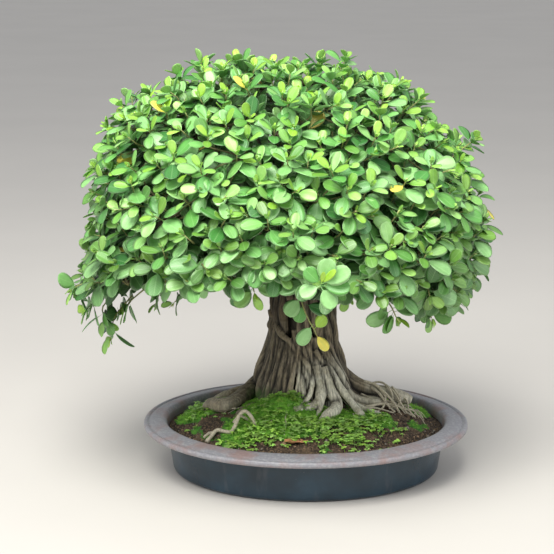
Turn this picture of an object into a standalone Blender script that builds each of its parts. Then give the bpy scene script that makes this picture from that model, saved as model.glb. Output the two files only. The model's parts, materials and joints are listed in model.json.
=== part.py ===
"""Banyan bonsai in an oval stoneware tray, with soil, surface roots and a clipped domed crown.

Metres, +Z up. The origin is the centre of the tray's underside, +X to the right and -Y to the front.
"""

import math

import bmesh
import bpy
from mathutils import Vector

CLEARANCE = 0.0004  # gap kept between pieces that touch

# Tray
TRAY_LENGTH = 0.430  # over the rim, along X
TRAY_DEPTH = 0.344  # over the rim, along Y
TRAY_HEIGHT = 0.070
TRAY_WALL = 0.006
TRAY_FLOOR = 0.007
RIM_WIDTH = 0.029  # flange outside the mouth
RIM_FALL = 0.003  # how far the flange drops to its outer edge
LIP_HEIGHT = 0.008  # upright band at the flange's edge
WALL_LEAN = 0.009  # how far the foot lies inside the mouth
FOOT_ROUND = 0.008
DRAIN_RADIUS = 0.008
DRAIN_SPACING = 0.180
TRAY_SEGMENTS = 56

# Drainage screens
SCREEN_SIDE = 0.030
SCREEN_THICKNESS = 0.0010
SCREEN_CELLS = 4

# Soil
SOIL_BELOW_RIM = 0.012
MOUND_HEIGHT = 0.022
PLATEAU = 0.60  # share of the soil's radius that is level, under the trunk
SOIL_SEGMENTS = 40

# Trunk and roots
TRUNK_X = -0.004
TRUNK_Y = 0.034
TRUNK_RADIUS = 0.037
TRUNK_HEIGHT = 0.182  # above the soil
FLARE = 0.030  # how much wider the trunk is at the soil
FLARE_HEIGHT = 0.044
STRANDS = 11  # aerial roots fused to the trunk
STRAND_RELIEF_TOP = 0.0035
STRAND_RELIEF_FOOT = 0.011
STRAND_TWIST = 0.55  # radians from soil to fork
TRUNK_SEGMENTS = 44
TRUNK_LEVELS = 16
STUMP_RADIUS = 0.030  # root stock below the soil line
STUMP_DEPTH = 0.036
ROOT_START = 0.040  # distance from the trunk's axis where a surface root begins

# Fallen leaf
DRY_LEAF_LENGTH = 0.030
DRY_LEAF_WIDTH = 0.015
DRY_LEAF_CURL = 0.0035
DRY_LEAF_THICKNESS = 0.0006
DRY_LEAF_SPOT = (-0.066, -0.775)  # shares of the soil's half length and depth

# Crown
CROWN_X = -0.034
CROWN_Y = 0.0
CROWN_LENGTH = 0.560
CROWN_DEPTH = 0.506
CROWN_WAIST = 0.222  # height of the widest level above the tray's rim
CROWN_RISE = 0.266  # from the widest level to the top
CROWN_DROP_FRONT = 0.034  # from the widest level to the hem
CROWN_DROP_BACK = 0.055
CROWN_DROP_LEFT = 0.135
CROWN_DROP_RIGHT = 0.112
CROWN_SQUARENESS = 2.1
PAD_DEPTH = 0.030  # from the crown's surface to a pad's middle
PAD_INNER = 0.026  # from a pad's middle to its underside
PAD_SPREAD = 0.115
PAD_GAP = 0.003  # gap between neighbouring pads
PAD_ROUNDING = 10.0
PAD_SEGMENTS = 14
PAD_RINGS = 8

# Limbs
LIMB_COUNT = 8
LIMB_RING = 0.0262  # distance of the limbs' feet from the trunk's axis
LIMB_RADIUS = 0.0090
LEADER_RADIUS = 0.0135
TWIG_RADIUS = 0.0026
LIMB_RISE = 0.012  # upright part at a limb's foot
LIMB_ARCH = 0.018  # how far a limb's fork is raised
LIMB_TIP_GAP = 0.0050

RIM_TOP = TRAY_HEIGHT
SOIL_EDGE = TRAY_HEIGHT - SOIL_BELOW_RIM
SOIL_TOP = SOIL_EDGE + MOUND_HEIGHT
SOIL_LENGTH = TRAY_LENGTH / 2 - RIM_WIDTH - TRAY_WALL * 0.6
SOIL_DEPTH = TRAY_DEPTH / 2 - RIM_WIDTH - TRAY_WALL * 0.6
TRUNK_FOOT = SOIL_TOP + CLEARANCE
FORK_HEIGHT = TRUNK_FOOT + TRUNK_HEIGHT
CROWN_CENTRE = Vector((CROWN_X, CROWN_Y, RIM_TOP + CROWN_WAIST))


def material(name, colour, roughness):
    made = bpy.data.materials.new(name)
    made.use_nodes = True
    shader = made.node_tree.nodes["Principled BSDF"]
    shader.inputs["Base Color"].default_value = (*colour, 1.0)
    shader.inputs["Roughness"].default_value = roughness
    return made


def smoothstep(x):
    x = min(1.0, max(0.0, x))
    return x * x * (3 - 2 * x)


def blend(a, b, share):
    return a + (b - a) * share


# ---------------------------------------------------------------- scene and small tools


def clear_scene():
    for obj in list(bpy.data.objects):
        bpy.data.objects.remove(obj, do_unlink=True)


def new_collection(name):
    made = bpy.data.collections.new(name)
    bpy.context.scene.collection.children.link(made)
    return made


def add_object(name, mesh, finish, smooth=True):
    obj = bpy.data.objects.new(name, mesh)
    PARTS.objects.link(obj)
    if finish:
        mesh.materials.append(finish)
    if smooth and isinstance(mesh, bpy.types.Mesh):
        mesh.shade_smooth()
    return obj


def as_cutter(obj):
    PARTS.objects.unlink(obj)
    CUTTERS.objects.link(obj)
    obj.hide_render = True
    obj.display_type = "WIRE"
    return obj


def boolean(obj, other, operation):
    modifier = obj.modifiers.new(operation.title() + "_" + other.name, "BOOLEAN")
    modifier.operation = operation
    modifier.object = other
    modifier.solver = "EXACT"
    return modifier


def cylinder(name, radius, low, high, x, y, sides=24):
    mesh = bpy.data.meshes.new(name)
    bm = bmesh.new()
    bmesh.ops.create_cone(
        bm, cap_ends=True, segments=sides, radius1=radius, radius2=radius, depth=high - low
    )
    bm.to_mesh(mesh)
    bm.free()
    obj = add_object(name, mesh, None, smooth=False)
    obj.location = (x, y, (low + high) / 2)
    obj.rotation_euler.z = 0.11
    return obj


def box(name, side, low, high, x, y):
    mesh = bpy.data.meshes.new(name)
    bm = bmesh.new()
    bmesh.ops.create_cube(bm, size=1.0)
    bmesh.ops.scale(bm, vec=(side, side, high - low), verts=bm.verts)
    bm.to_mesh(mesh)
    bm.free()
    obj = add_object(name, mesh, None, smooth=False)
    obj.location = (x, y, (low + high) / 2)
    return obj


def loft(name, rings, finish):
    """A closed solid through rings of points, each ring with the same count, its ends capped."""
    mesh = bpy.data.meshes.new(name)
    bm = bmesh.new()
    loops = [[bm.verts.new(point) for point in ring] for ring in rings]
    for lower, upper in zip(loops, loops[1:]):
        for i in range(len(lower)):
            bm.faces.new((lower[i - 1], lower[i], upper[i], upper[i - 1]))
    bm.faces.new(loops[0])
    bm.faces.new(loops[-1])
    bmesh.ops.recalc_face_normals(bm, faces=bm.faces)
    if bm.calc_volume(signed=True) < 0:
        bmesh.ops.reverse_faces(bm, faces=bm.faces)
    bm.to_mesh(mesh)
    bm.free()
    return add_object(name, mesh, finish)


def oval(length, depth, z, segments):
    """Points of an oval ring with those half axes."""
    turns = [2 * math.pi * i / segments for i in range(segments)]
    return [Vector((length * math.cos(t), depth * math.sin(t), z)) for t in turns]


def tube_curve(name, points, radii, finish, resolution=2):
    """A round, tapering stem through points, with filled caps."""
    curve = bpy.data.curves.new(name, "CURVE")
    curve.dimensions = "3D"
    curve.bevel_depth = 1.0
    curve.bevel_resolution = resolution
    curve.use_fill_caps = True
    spline = curve.splines.new("POLY")
    spline.points.add(len(points) - 1)
    for target, point, radius in zip(spline.points, points, radii):
        target.co = (*point, 1.0)
        target.radius = radius
    obj = bpy.data.objects.new(name, curve)
    PARTS.objects.link(obj)
    if finish:
        curve.materials.append(finish)
    return obj


def as_mesh(obj):
    """The curve object made a mesh object with welded caps."""
    bpy.context.view_layer.update()
    graph = bpy.context.evaluated_depsgraph_get()
    mesh = bpy.data.meshes.new_from_object(obj.evaluated_get(graph))
    bm = bmesh.new()
    bm.from_mesh(mesh)
    bmesh.ops.remove_doubles(bm, verts=bm.verts, dist=1e-6)
    bmesh.ops.recalc_face_normals(bm, faces=bm.faces)
    bm.to_mesh(mesh)
    bm.free()
    name = obj.name
    world = obj.matrix_world.copy()
    bpy.data.objects.remove(obj, do_unlink=True)
    made = bpy.data.objects.new(name, mesh)
    made.matrix_world = world
    PARTS.objects.link(made)
    mesh.shade_smooth()
    return made


def curved(start, bend, end, count):
    """Points of a quadratic curve from start to end, pulled towards bend."""
    shares = [i / (count - 1) for i in range(count)]
    return [start * (1 - s) ** 2 + bend * 2 * s * (1 - s) + end * s**2 for s in shares]


# ---------------------------------------------------------------- tray, screens and soil


def build_tray():
    """The tray's section is given as (distance in from the rim's edge, height) and lofted round an oval."""
    mouth = RIM_WIDTH
    foot = mouth + WALL_LEAN
    crest = TRAY_HEIGHT - RIM_FALL * 0.1
    lip_top = TRAY_HEIGHT - RIM_FALL
    lip_foot = lip_top - LIP_HEIGHT
    outer = [
        (foot + FOOT_ROUND, 0.0),
        (foot + FOOT_ROUND * 0.3, FOOT_ROUND * 0.3),
        (foot, FOOT_ROUND),
        (mouth + 0.002, lip_foot - 0.003),
        (mouth - 0.002, lip_foot),
        (0.004, lip_foot),
        (0.0008, lip_foot + 0.0015),
        (0.0, lip_foot + LIP_HEIGHT * 0.5),
        (0.0015, lip_top),
        (0.0050, lip_top + 0.0002),
        (0.0070, lip_top - 0.0006),
        (0.0095, lip_top + 0.0008),
        (mouth - 0.005, crest),
        (mouth - 0.0015, TRAY_HEIGHT),
    ]
    inner = [
        (mouth + TRAY_WALL * 0.3, TRAY_HEIGHT - 0.0025),
        (mouth + TRAY_WALL * 0.6, SOIL_EDGE),
        (foot + TRAY_WALL, TRAY_FLOOR + FOOT_ROUND),
        (foot + TRAY_WALL + FOOT_ROUND * 0.8, TRAY_FLOOR),
    ]
    rings = [
        oval(TRAY_LENGTH / 2 - inset, TRAY_DEPTH / 2 - inset, z, TRAY_SEGMENTS)
        for inset, z in outer + inner
    ]
    tray = loft("tray", rings, STONEWARE)
    for side in (-1, 1):
        drain = cylinder(
            f"drain_cutter_{side}", DRAIN_RADIUS, -0.01, TRAY_FLOOR + 0.01, side * DRAIN_SPACING / 2, 0.0
        )
        boolean(tray, as_cutter(drain), "DIFFERENCE")
    return tray


def build_screens():
    """A square of woven mesh over each drain hole."""
    for side, name in ((-1, "drain_screen_left"), (1, "drain_screen_right")):
        mesh = bpy.data.meshes.new(name)
        bm = bmesh.new()
        bmesh.ops.create_grid(
            bm, x_segments=SCREEN_CELLS, y_segments=SCREEN_CELLS, size=SCREEN_SIDE / 2
        )
        bm.to_mesh(mesh)
        bm.free()
        screen = add_object(name, mesh, SCREEN_PLASTIC, smooth=False)
        screen.location = (side * DRAIN_SPACING / 2, 0.0, TRAY_FLOOR + CLEARANCE + SCREEN_THICKNESS / 2)
        weave = screen.modifiers.new("weave", "WIREFRAME")
        weave.thickness = SCREEN_THICKNESS
        weave.use_boundary = True
        weave.use_even_offset = False


def soil_height(x, y):
    """Height of the mounded soil."""
    q = math.hypot(x / SOIL_LENGTH, y / SOIL_DEPTH)
    return SOIL_TOP - MOUND_HEIGHT * smoothstep((q - PLATEAU) / (1 - PLATEAU))


def build_soil():
    foot_inset = WALL_LEAN + TRAY_WALL * 0.4
    gap = CLEARANCE * 1.5
    low = TRAY_FLOOR + CLEARANCE
    rings = []
    for inset, z in ((foot_inset + FOOT_ROUND + gap, low), (foot_inset + gap * 2, TRAY_FLOOR + FOOT_ROUND)):
        rings.append(oval(SOIL_LENGTH - inset, SOIL_DEPTH - inset, z, SOIL_SEGMENTS))
    for share in (1.0, 0.93, 0.84, 0.75, 0.67, PLATEAU):
        length, depth = SOIL_LENGTH * share - gap, SOIL_DEPTH * share - gap
        rings.append(oval(length, depth, soil_height(length, 0.0), SOIL_SEGMENTS))
    soil = loft("soil", rings, SOIL)
    bottom = SOIL_TOP - STUMP_DEPTH - CLEARANCE
    radius = STUMP_RADIUS + CLEARANCE * 2
    stump_hole = cylinder("stump_cutter", radius, bottom, SOIL_TOP + 0.01, TRUNK_X, TRUNK_Y)
    boolean(soil, as_cutter(stump_hole), "DIFFERENCE")
    for side in (-1, 1):
        recess = box(
            f"screen_cutter_{side}",
            SCREEN_SIDE + SCREEN_THICKNESS + CLEARANCE * 4,
            0.0,
            TRAY_FLOOR + SCREEN_THICKNESS + CLEARANCE * 3,
            side * DRAIN_SPACING / 2,
            0.0,
        )
        boolean(soil, as_cutter(recess), "DIFFERENCE")
    return soil


# ---------------------------------------------------------------- trunk and roots

# name, start and end direction in degrees, reach as a share of the way to the tray's wall,
# radius at the trunk, radius at the tip, sway
SURFACE_ROOTS = (
    ("left", 174, 190, 0.80, 0.0130, 0.0055, 0.008),
    ("right", 8, 2, 0.80, 0.0135, 0.0062, -0.006),
    ("front_left", -128, -142, 0.66, 0.0085, 0.0035, 0.006),
    ("front_low", -104, -116, 0.60, 0.0105, 0.0040, -0.007),
    ("front", -80, -84, 0.50, 0.0115, 0.0050, 0.004),
    ("front_right", -60, -50, 0.60, 0.0095, 0.0040, 0.005),
    ("right_low", -34, -40, 0.50, 0.0080, 0.0035, -0.006),
    ("back_right", 48, 40, 0.70, 0.0105, 0.0040, 0.006),
    ("back", 92, 100, 0.72, 0.0095, 0.0040, -0.005),
    ("back_left", 138, 146, 0.72, 0.0105, 0.0040, 0.006),
)


def reach_to_wall(angle):
    """Distance from the trunk's axis to the soil's edge in that direction."""
    step = 0.001
    distance = 0.0
    while math.hypot(
        (TRUNK_X + distance * math.cos(angle)) / SOIL_LENGTH,
        (TRUNK_Y + distance * math.sin(angle)) / SOIL_DEPTH,
    ) < 1.0:
        distance += step
    return distance


def root_path(start_deg, end_deg, reach, thick, thin, sway, count=9):
    """Centre line and radii of a root that lies on the mound."""
    start, end = math.radians(start_deg), math.radians(end_deg)
    far = reach_to_wall(end) * reach
    points, radii = [], []
    for i in range(count):
        s = i / (count - 1)
        angle = blend(start, end, s)
        distance = blend(ROOT_START, far, s)
        side = sway * math.sin(s * math.pi * 2)
        x = TRUNK_X + distance * math.cos(angle) - side * math.sin(angle)
        y = TRUNK_Y + distance * math.sin(angle) + side * math.cos(angle)
        radius = blend(thick, thin, s)
        lift = CLEARANCE * 3 + radius * 1.12
        points.append(Vector((x, y, soil_height(x, y) + lift)))
        radii.append(radius)
    return points, radii


def trunk_outline(height, segments):
    """Section of the trunk at a height above the soil: a round core with a lobe for each fused root."""
    share = height / TRUNK_HEIGHT
    core = TRUNK_RADIUS + FLARE * math.exp(-height / FLARE_HEIGHT)
    relief = blend(STRAND_RELIEF_FOOT, STRAND_RELIEF_TOP, math.sqrt(share))
    points = []
    for i in range(segments):
        turn = 2 * math.pi * i / segments
        lobe = 0.0
        for k in range(STRANDS):
            centre = 2 * math.pi * (k + 0.32 * math.sin(k * 2.4)) / STRANDS
            centre += STRAND_TWIST * share * math.cos(k * 1.9)
            off = (turn - centre + math.pi) % (2 * math.pi) - math.pi
            size = 0.75 + 0.35 * math.sin(k * 1.7)
            lobe = max(lobe, size * math.exp(-((off * STRANDS / 3.6) ** 2)))
        radius = core + relief * (lobe - 0.5)
        points.append((radius * math.cos(turn), radius * math.sin(turn)))
    return points


def build_stock():
    """Trunk, root stock and surface roots grew as one piece and are one solid."""
    rings = []
    for level in range(TRUNK_LEVELS + 1):
        height = TRUNK_HEIGHT * (level / TRUNK_LEVELS) ** 1.35
        lean = 0.004 * math.sin(height / TRUNK_HEIGHT * math.pi)
        ring = [
            Vector((TRUNK_X + lean + x, TRUNK_Y + y, TRUNK_FOOT + height))
            for x, y in trunk_outline(height, TRUNK_SEGMENTS)
        ]
        rings.append(ring)
    stock = loft("trunk_and_roots", rings, BARK)
    joined = [
        cylinder("stump_joined", STUMP_RADIUS, SOIL_TOP - STUMP_DEPTH, SOIL_TOP + 0.02, TRUNK_X, TRUNK_Y)
    ]
    for name, *shape in SURFACE_ROOTS:
        points, radii = root_path(*shape)
        joined.append(as_mesh(tube_curve("root_joined_" + name, points, radii, BARK)))
    for root in joined:
        boolean(stock, as_cutter(root), "UNION")
    return stock


# Points of thin roots that lie by themselves: x and y as shares of the soil's half length and depth,
# and the height above their resting place in metres
ARCHED_ROOT = (
    (-0.691, -0.574, 0.000), (-0.641, -0.509, 0.002), (-0.587, -0.531, 0.001), (-0.515, -0.552, 0.001),
    (-0.482, -0.524, 0.009), (-0.450, -0.488, 0.014), (-0.411, -0.488, 0.012), (-0.362, -0.516, 0.002),
)
ARCHED_RADIUS = 0.0027
LATTICE_ROOTS = (
    ((0.406, -0.100, 0.002), (0.471, -0.143, 0.001), (0.554, -0.086, 0.003), (0.663, -0.072, 0.001)),
    ((0.504, 0.000, 0.009), (0.548, -0.072, 0.005), (0.598, -0.158, 0.001), (0.641, -0.215, 0.000)),
    ((0.570, -0.014, 0.007), (0.598, -0.086, 0.004), (0.565, -0.172, 0.001), (0.515, -0.222, 0.000)),
)
LATTICE_RADIUS = 0.0019


def lying_root(name, path, radius):
    """A thin root whose middle line clears the soil."""
    points = []
    for along, across, lift in path:
        x, y = along * SOIL_LENGTH, across * SOIL_DEPTH
        points.append(Vector((x, y, soil_height(x, y) + radius * 1.1 + CLEARANCE * 3 + lift)))
    return as_mesh(tube_curve(name, points, [radius] * len(points), PALE_ROOT))


def build_loose_roots():
    lying_root("arched_root", ARCHED_ROOT, ARCHED_RADIUS)
    lattice = lying_root("lattice_root", LATTICE_ROOTS[0], LATTICE_RADIUS)
    for number, path in enumerate(LATTICE_ROOTS[1:]):
        crossing = lying_root(f"lattice_crossing_{number}", path, LATTICE_RADIUS * 0.92)
        boolean(lattice, as_cutter(crossing), "UNION")


def build_dry_leaf():
    """One fallen leaf, curled along its midrib, resting on the soil in front."""
    mesh = bpy.data.meshes.new("fallen_leaf")
    place = (DRY_LEAF_SPOT[0] * SOIL_LENGTH, DRY_LEAF_SPOT[1] * SOIL_DEPTH)
    bm = bmesh.new()
    bmesh.ops.create_grid(bm, x_segments=6, y_segments=4, size=0.5)
    for vert in bm.verts:
        along, across = vert.co.x, vert.co.y
        width = DRY_LEAF_WIDTH * math.sqrt(max(0.02, 1 - (2 * along) ** 2 * 0.96))
        curl = DRY_LEAF_CURL * (2 * across) ** 2 * (1 - (2 * along) ** 2 * 0.6)
        vert.co = Vector((along * DRY_LEAF_LENGTH, across * width, curl))
    bm.to_mesh(mesh)
    bm.free()
    leaf = add_object("fallen_leaf", mesh, DRY_LEAF)
    leaf.location = (*place, soil_height(*place) + CLEARANCE + 0.0025)
    leaf.rotation_euler = (0.10, 0.0, 0.12)
    thick = leaf.modifiers.new("thickness", "SOLIDIFY")
    thick.thickness = DRY_LEAF_THICKNESS
    thick.offset = 1.0


# ---------------------------------------------------------------- crown


def crown_value(point):
    """Below 1 inside the crown's outer surface, above 1 outside it."""
    off = point - CROWN_CENTRE
    side = CROWN_DROP_LEFT if off.x < 0 else CROWN_DROP_RIGHT
    flat = math.hypot(off.x, off.y) or 1e-9
    middle = CROWN_DROP_FRONT if off.y < 0 else CROWN_DROP_BACK
    drop = blend(middle, side, (off.x / flat) ** 2)
    rise = CROWN_RISE if off.z > 0 else drop
    sizes = (CROWN_LENGTH / 2, CROWN_DEPTH / 2, rise)
    return sum(abs(value / size) ** CROWN_SQUARENESS for value, size in zip(off, sizes))


def distance_out(start, direction, furthest=0.5):
    """Distance from start to the crown's outer surface."""
    low, high = 0.0, furthest
    for _ in range(24):
        middle = (low + high) / 2
        if crown_value(start + direction * middle) < 1.0:
            low = middle
        else:
            high = middle
    return low


def direction_of(turn_deg, rise_deg):
    turn, rise = math.radians(turn_deg), math.radians(rise_deg)
    return Vector((math.cos(turn) * math.cos(rise), math.sin(turn) * math.cos(rise), math.sin(rise)))


def pad_rings():
    """Names, directions and the limb of each foliage pad, in rings from the top down."""
    pads = [("foliage_top", direction_of(0, 90), "leader")]
    for i in range(6):
        pads.append((f"foliage_upper_{i + 1}", direction_of(60 * i + 20, 50), "leader"))
    for i in range(LIMB_COUNT):
        turn = 360 / LIMB_COUNT * i
        pads.append((f"foliage_middle_{i + 1}", direction_of(turn, 17), i))
    for i in range(LIMB_COUNT):
        turn = 360 / LIMB_COUNT * (i + 0.5)
        pads.append((f"foliage_hem_{i + 1}", direction_of(turn, -11), i))
    return pads


def pad_radius(centre, outward, others, direction):
    """How far the pad reaches from its middle in one direction: to the crown's surface, to the planes
    half way to its neighbours, and to its own underside, with rounded corners between them."""
    limits = [max(distance_out(centre, direction), 0.004)]
    inward = -direction.dot(outward)
    if inward > 0:
        limits.append(1 / math.sqrt((inward / PAD_INNER) ** 2 + (1 - inward**2) / PAD_SPREAD**2))
    else:
        limits.append(PAD_SPREAD)
    for other in others:
        towards = other - centre
        facing = direction.dot(towards.normalized())
        if facing > 0.05:
            limits.append((towards.length - PAD_GAP) / 2 / facing)
    return sum(limit**-PAD_ROUNDING for limit in limits) ** (-1 / PAD_ROUNDING)


def build_foliage():
    """Each pad of leaves as one rounded solid. Returns what the limbs need to end under them."""
    pads = []
    for name, direction, limb in pad_rings():
        out = distance_out(CROWN_CENTRE, direction)
        pads.append((name, CROWN_CENTRE + direction * (out - PAD_DEPTH), direction, limb))
    reach = {}
    for name, centre, outward, limb in pads:
        others = [c for n, c, _, _ in pads if n != name and (c - centre).length < 4 * PAD_SPREAD]
        mesh = bpy.data.meshes.new(name)
        bm = bmesh.new()
        bmesh.ops.create_uvsphere(bm, u_segments=PAD_SEGMENTS, v_segments=PAD_RINGS, radius=1.0)
        facing = Vector((0, 0, 1)).rotation_difference(outward)
        for vert in bm.verts:
            direction = facing @ vert.co.normalized()
            vert.co = direction * pad_radius(centre, outward, others, direction)
        bm.to_mesh(mesh)
        bm.free()
        pad = add_object(name, mesh, LEAF)
        pad.location = centre
        reach[name] = (centre, outward, others, limb)
    return reach


# ---------------------------------------------------------------- limbs


def tip_under(pad, start):
    """Where a stem that comes from start ends, just under a pad."""
    centre, outward, others, _ = pad
    back = (start - centre).normalized()
    return centre + back * (pad_radius(centre, outward, others, back) + LIMB_TIP_GAP)


def forked_limb(name, foot, fork, radius, pads):
    """A limb from the trunk's top to its fork, with a stem from there to each pad, as one solid."""
    rise = Vector((0, 0, LIMB_RISE))
    spine = [foot] + curved(foot + rise, foot * 0.6 + fork * 0.4 + rise * 2, fork, 6)
    radii = [blend(radius, radius * 0.62, i / 6) for i in range(7)]
    limb = as_mesh(tube_curve(name, spine, radii, YOUNG_BARK))
    inside = spine[-2]
    for number, pad in enumerate(pads):
        tip = tip_under(pad, fork)
        bend = fork * 0.5 + tip * 0.5 + Vector((0, 0, 0.006))
        stem = curved(inside, bend, tip, 6)
        widths = [blend(radius * 0.50, TWIG_RADIUS, i / 5) for i in range(6)]
        side = as_mesh(tube_curve(f"{name}_stem_{number}", stem, widths, YOUNG_BARK))
        boolean(limb, as_cutter(side), "UNION")
    return limb


def build_limbs(pads):
    trunk_top = Vector((TRUNK_X, TRUNK_Y, FORK_HEIGHT + CLEARANCE))
    crown_pads = [pad for pad in pads.values() if pad[3] == "leader"]
    forked_limb("leader", trunk_top, trunk_top + Vector((-0.012, 0, 0.085)), LEADER_RADIUS, crown_pads)
    for i in range(LIMB_COUNT):
        served = [pad for pad in pads.values() if pad[3] == i]
        middle = sum((pad[0] for pad in served), Vector()) / len(served)
        turn = 2 * math.pi * (i + 0.25) / LIMB_COUNT
        foot = trunk_top + Vector((math.cos(turn), math.sin(turn), 0)) * LIMB_RING
        fork = foot * 0.45 + middle * 0.55
        fork.z = max(fork.z, FORK_HEIGHT + 0.02) + LIMB_ARCH
        forked_limb(f"limb_{i + 1}", foot, fork, LIMB_RADIUS, served)


# ---------------------------------------------------------------- ground cover

# name, direction from the trunk in degrees, distance as a share of the way to the tray's wall,
# half size along and across that direction, thickness, finish
GROUND_PATCHES = (
    ("moss_front_left", 203, 0.53, 0.022, 0.010, 0.006, "moss"),
    ("moss_left", 201, 0.88, 0.011, 0.016, 0.006, "moss"),
    ("clover_front_left", 242, 0.84, 0.012, 0.028, 0.009, "clover"),
    ("clover_front_right", 293, 0.80, 0.015, 0.032, 0.010, "clover"),
    ("moss_front_right", 321, 0.70, 0.020, 0.014, 0.006, "moss"),
    ("moss_right", 17, 0.84, 0.016, 0.017, 0.005, "moss"),
    ("moss_back_right", 67, 0.80, 0.013, 0.026, 0.005, "moss"),
    ("moss_back_left", 164, 0.67, 0.018, 0.011, 0.006, "moss"),
)


def build_ground_cover():
    """Low cushions of moss and clover that lie on the mound, between the roots."""
    for name, turn_deg, share_out, half_along, half_across, thick, kind in GROUND_PATCHES:
        turn = math.radians(turn_deg)
        along = Vector((math.cos(turn), math.sin(turn)))
        across = Vector((-along.y, along.x))
        middle = Vector((TRUNK_X, TRUNK_Y)) + along * reach_to_wall(turn) * share_out
        top, under = [], []
        for share in (1.0, 0.80, 0.45):
            for ring, lift in ((under, 0.0), (top, thick * (1 - share**2) + 0.0008)):
                points = []
                for point in oval(half_along * share, half_across * share, 0.0, 14):
                    x, y = middle + along * point.x + across * point.y
                    points.append(Vector((x, y, soil_height(x, y) + CLEARANCE * 3 + lift)))
                ring.append(points)
        loft(name, under[::-1] + top, CLOVER if kind == "clover" else MOSS)


clear_scene()
PARTS = new_collection("banyan_bonsai")
CUTTERS = new_collection("cutters")
STONEWARE = material("slate_stoneware", (0.045, 0.070, 0.088), 0.42)
SCREEN_PLASTIC = material("screen_plastic", (0.02, 0.02, 0.02), 0.6)
SOIL = material("soil", (0.035, 0.022, 0.014), 0.95)
BARK = material("bark", (0.160, 0.135, 0.100), 0.85)
YOUNG_BARK = material("young_bark", (0.130, 0.105, 0.075), 0.8)
PALE_ROOT = material("pale_root", (0.480, 0.400, 0.290), 0.75)
LEAF = material("leaf", (0.100, 0.330, 0.090), 0.35)
DRY_LEAF = material("dry_leaf", (0.420, 0.160, 0.050), 0.6)
MOSS = material("moss", (0.060, 0.180, 0.025), 0.9)
CLOVER = material("clover", (0.190, 0.420, 0.080), 0.6)

build_tray()
build_screens()
build_soil()
build_stock()
build_loose_roots()
build_dry_leaf()
FOLIAGE = build_foliage()
build_limbs(FOLIAGE)
build_ground_cover()
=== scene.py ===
"""Banyan bonsai: glazed oval tray, mossy mound, root-laced trunk and a clipped dome of small waxy leaves.

Metres, +Z up, front at -Y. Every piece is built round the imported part's own nodes and rides on its body.
"""

import json
import math

import bmesh
import bpy
import numpy as np
from mathutils import Matrix, Vector, noise

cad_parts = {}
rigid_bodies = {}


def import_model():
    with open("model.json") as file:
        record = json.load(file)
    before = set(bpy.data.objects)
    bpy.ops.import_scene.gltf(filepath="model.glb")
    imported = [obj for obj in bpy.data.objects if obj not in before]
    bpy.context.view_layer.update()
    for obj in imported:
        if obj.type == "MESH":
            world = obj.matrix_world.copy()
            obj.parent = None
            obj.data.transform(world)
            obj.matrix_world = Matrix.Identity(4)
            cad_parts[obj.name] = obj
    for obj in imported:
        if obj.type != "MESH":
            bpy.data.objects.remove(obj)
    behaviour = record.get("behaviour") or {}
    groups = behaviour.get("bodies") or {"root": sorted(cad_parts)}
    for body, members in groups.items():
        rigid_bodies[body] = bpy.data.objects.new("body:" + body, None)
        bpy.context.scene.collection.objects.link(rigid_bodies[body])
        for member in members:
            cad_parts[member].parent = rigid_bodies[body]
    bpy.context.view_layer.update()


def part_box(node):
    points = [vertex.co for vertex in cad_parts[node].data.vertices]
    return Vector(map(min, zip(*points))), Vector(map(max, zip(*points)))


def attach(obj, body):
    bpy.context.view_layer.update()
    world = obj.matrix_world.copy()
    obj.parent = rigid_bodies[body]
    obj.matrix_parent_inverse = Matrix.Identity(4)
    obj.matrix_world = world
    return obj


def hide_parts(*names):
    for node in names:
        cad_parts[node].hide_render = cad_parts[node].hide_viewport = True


bl_info = {
    "name": "Banyan Bonsai",
    "version": (1, 0, 0),
    "blender": (4, 5, 0),
    "location": "View3D > Sidebar > Bonsai",
    "description": "Builds a banyan bonsai in an oval tray round its modelled part",
    "category": "Add Mesh",
}

for leftover in list(bpy.data.objects):
    bpy.data.objects.remove(leftover, do_unlink=True)
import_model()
SOIL_LOW, SOIL_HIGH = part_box("soil")
TRUNK_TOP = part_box("trunk_and_roots")[1].z
TRAY_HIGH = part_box("tray")[1]
TURN = 2 * math.pi


# ------------------------------------------------------------------ settings, in metres and linear colours


def linear(hex_colour):
    """Linear red, green and blue of a colour written as sRGB hex."""
    parts = [int(hex_colour[i : i + 2], 16) / 255 for i in (1, 3, 5)]
    return tuple(c / 12.92 if c <= 0.04045 else ((c + 0.055) / 1.055) ** 2.4 for c in parts)


def size(name, description, default):
    return bpy.props.FloatProperty(name=name, description=description, default=default, unit="LENGTH")


def share(name, description, default):
    return bpy.props.FloatProperty(name=name, description=description, default=default)


def count(name, description, default):
    return bpy.props.IntProperty(name=name, description=description, default=default, min=1)


def colour(name, description, hex_colour):
    return bpy.props.FloatVectorProperty(
        name=name, description=description, subtype="COLOR", size=3, min=0, max=1, default=linear(hex_colour)
    )


def angle(name, description, degrees):
    return bpy.props.FloatProperty(
        name=name, description=description, default=math.radians(degrees), subtype="ANGLE"
    )


class TraySettings(bpy.types.PropertyGroup):
    segments: count("Segments", "Points round the tray", 176)
    rim_width: size("Flange width", "Flange outside the mouth", 0.029)
    rim_fall: size("Flange fall", "How far the flange drops to its edge", 0.003)
    lip: size("Lip", "Height of the upright band at the flange's edge", 0.008)
    wall: size("Wall", "Thickness of the wall", 0.006)
    lean: size("Lean", "How far the foot lies inside the mouth", 0.009)
    floor: size("Floor", "Thickness of the floor", 0.007)
    foot: size("Foot", "Rounding at the foot", 0.008)
    drain: size("Drain", "Radius of the drain holes", 0.008)
    glaze: colour("Glaze", "Slate glaze on the body", "#1d323f")
    flange: colour("Flange", "Matt glaze on the flange", "#87868c")
    deposit: colour("Deposit", "Lime left by watering", "#a8a7a8")
    clay: colour("Clay", "Clay where the glaze is thin", "#8d716b")


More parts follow.
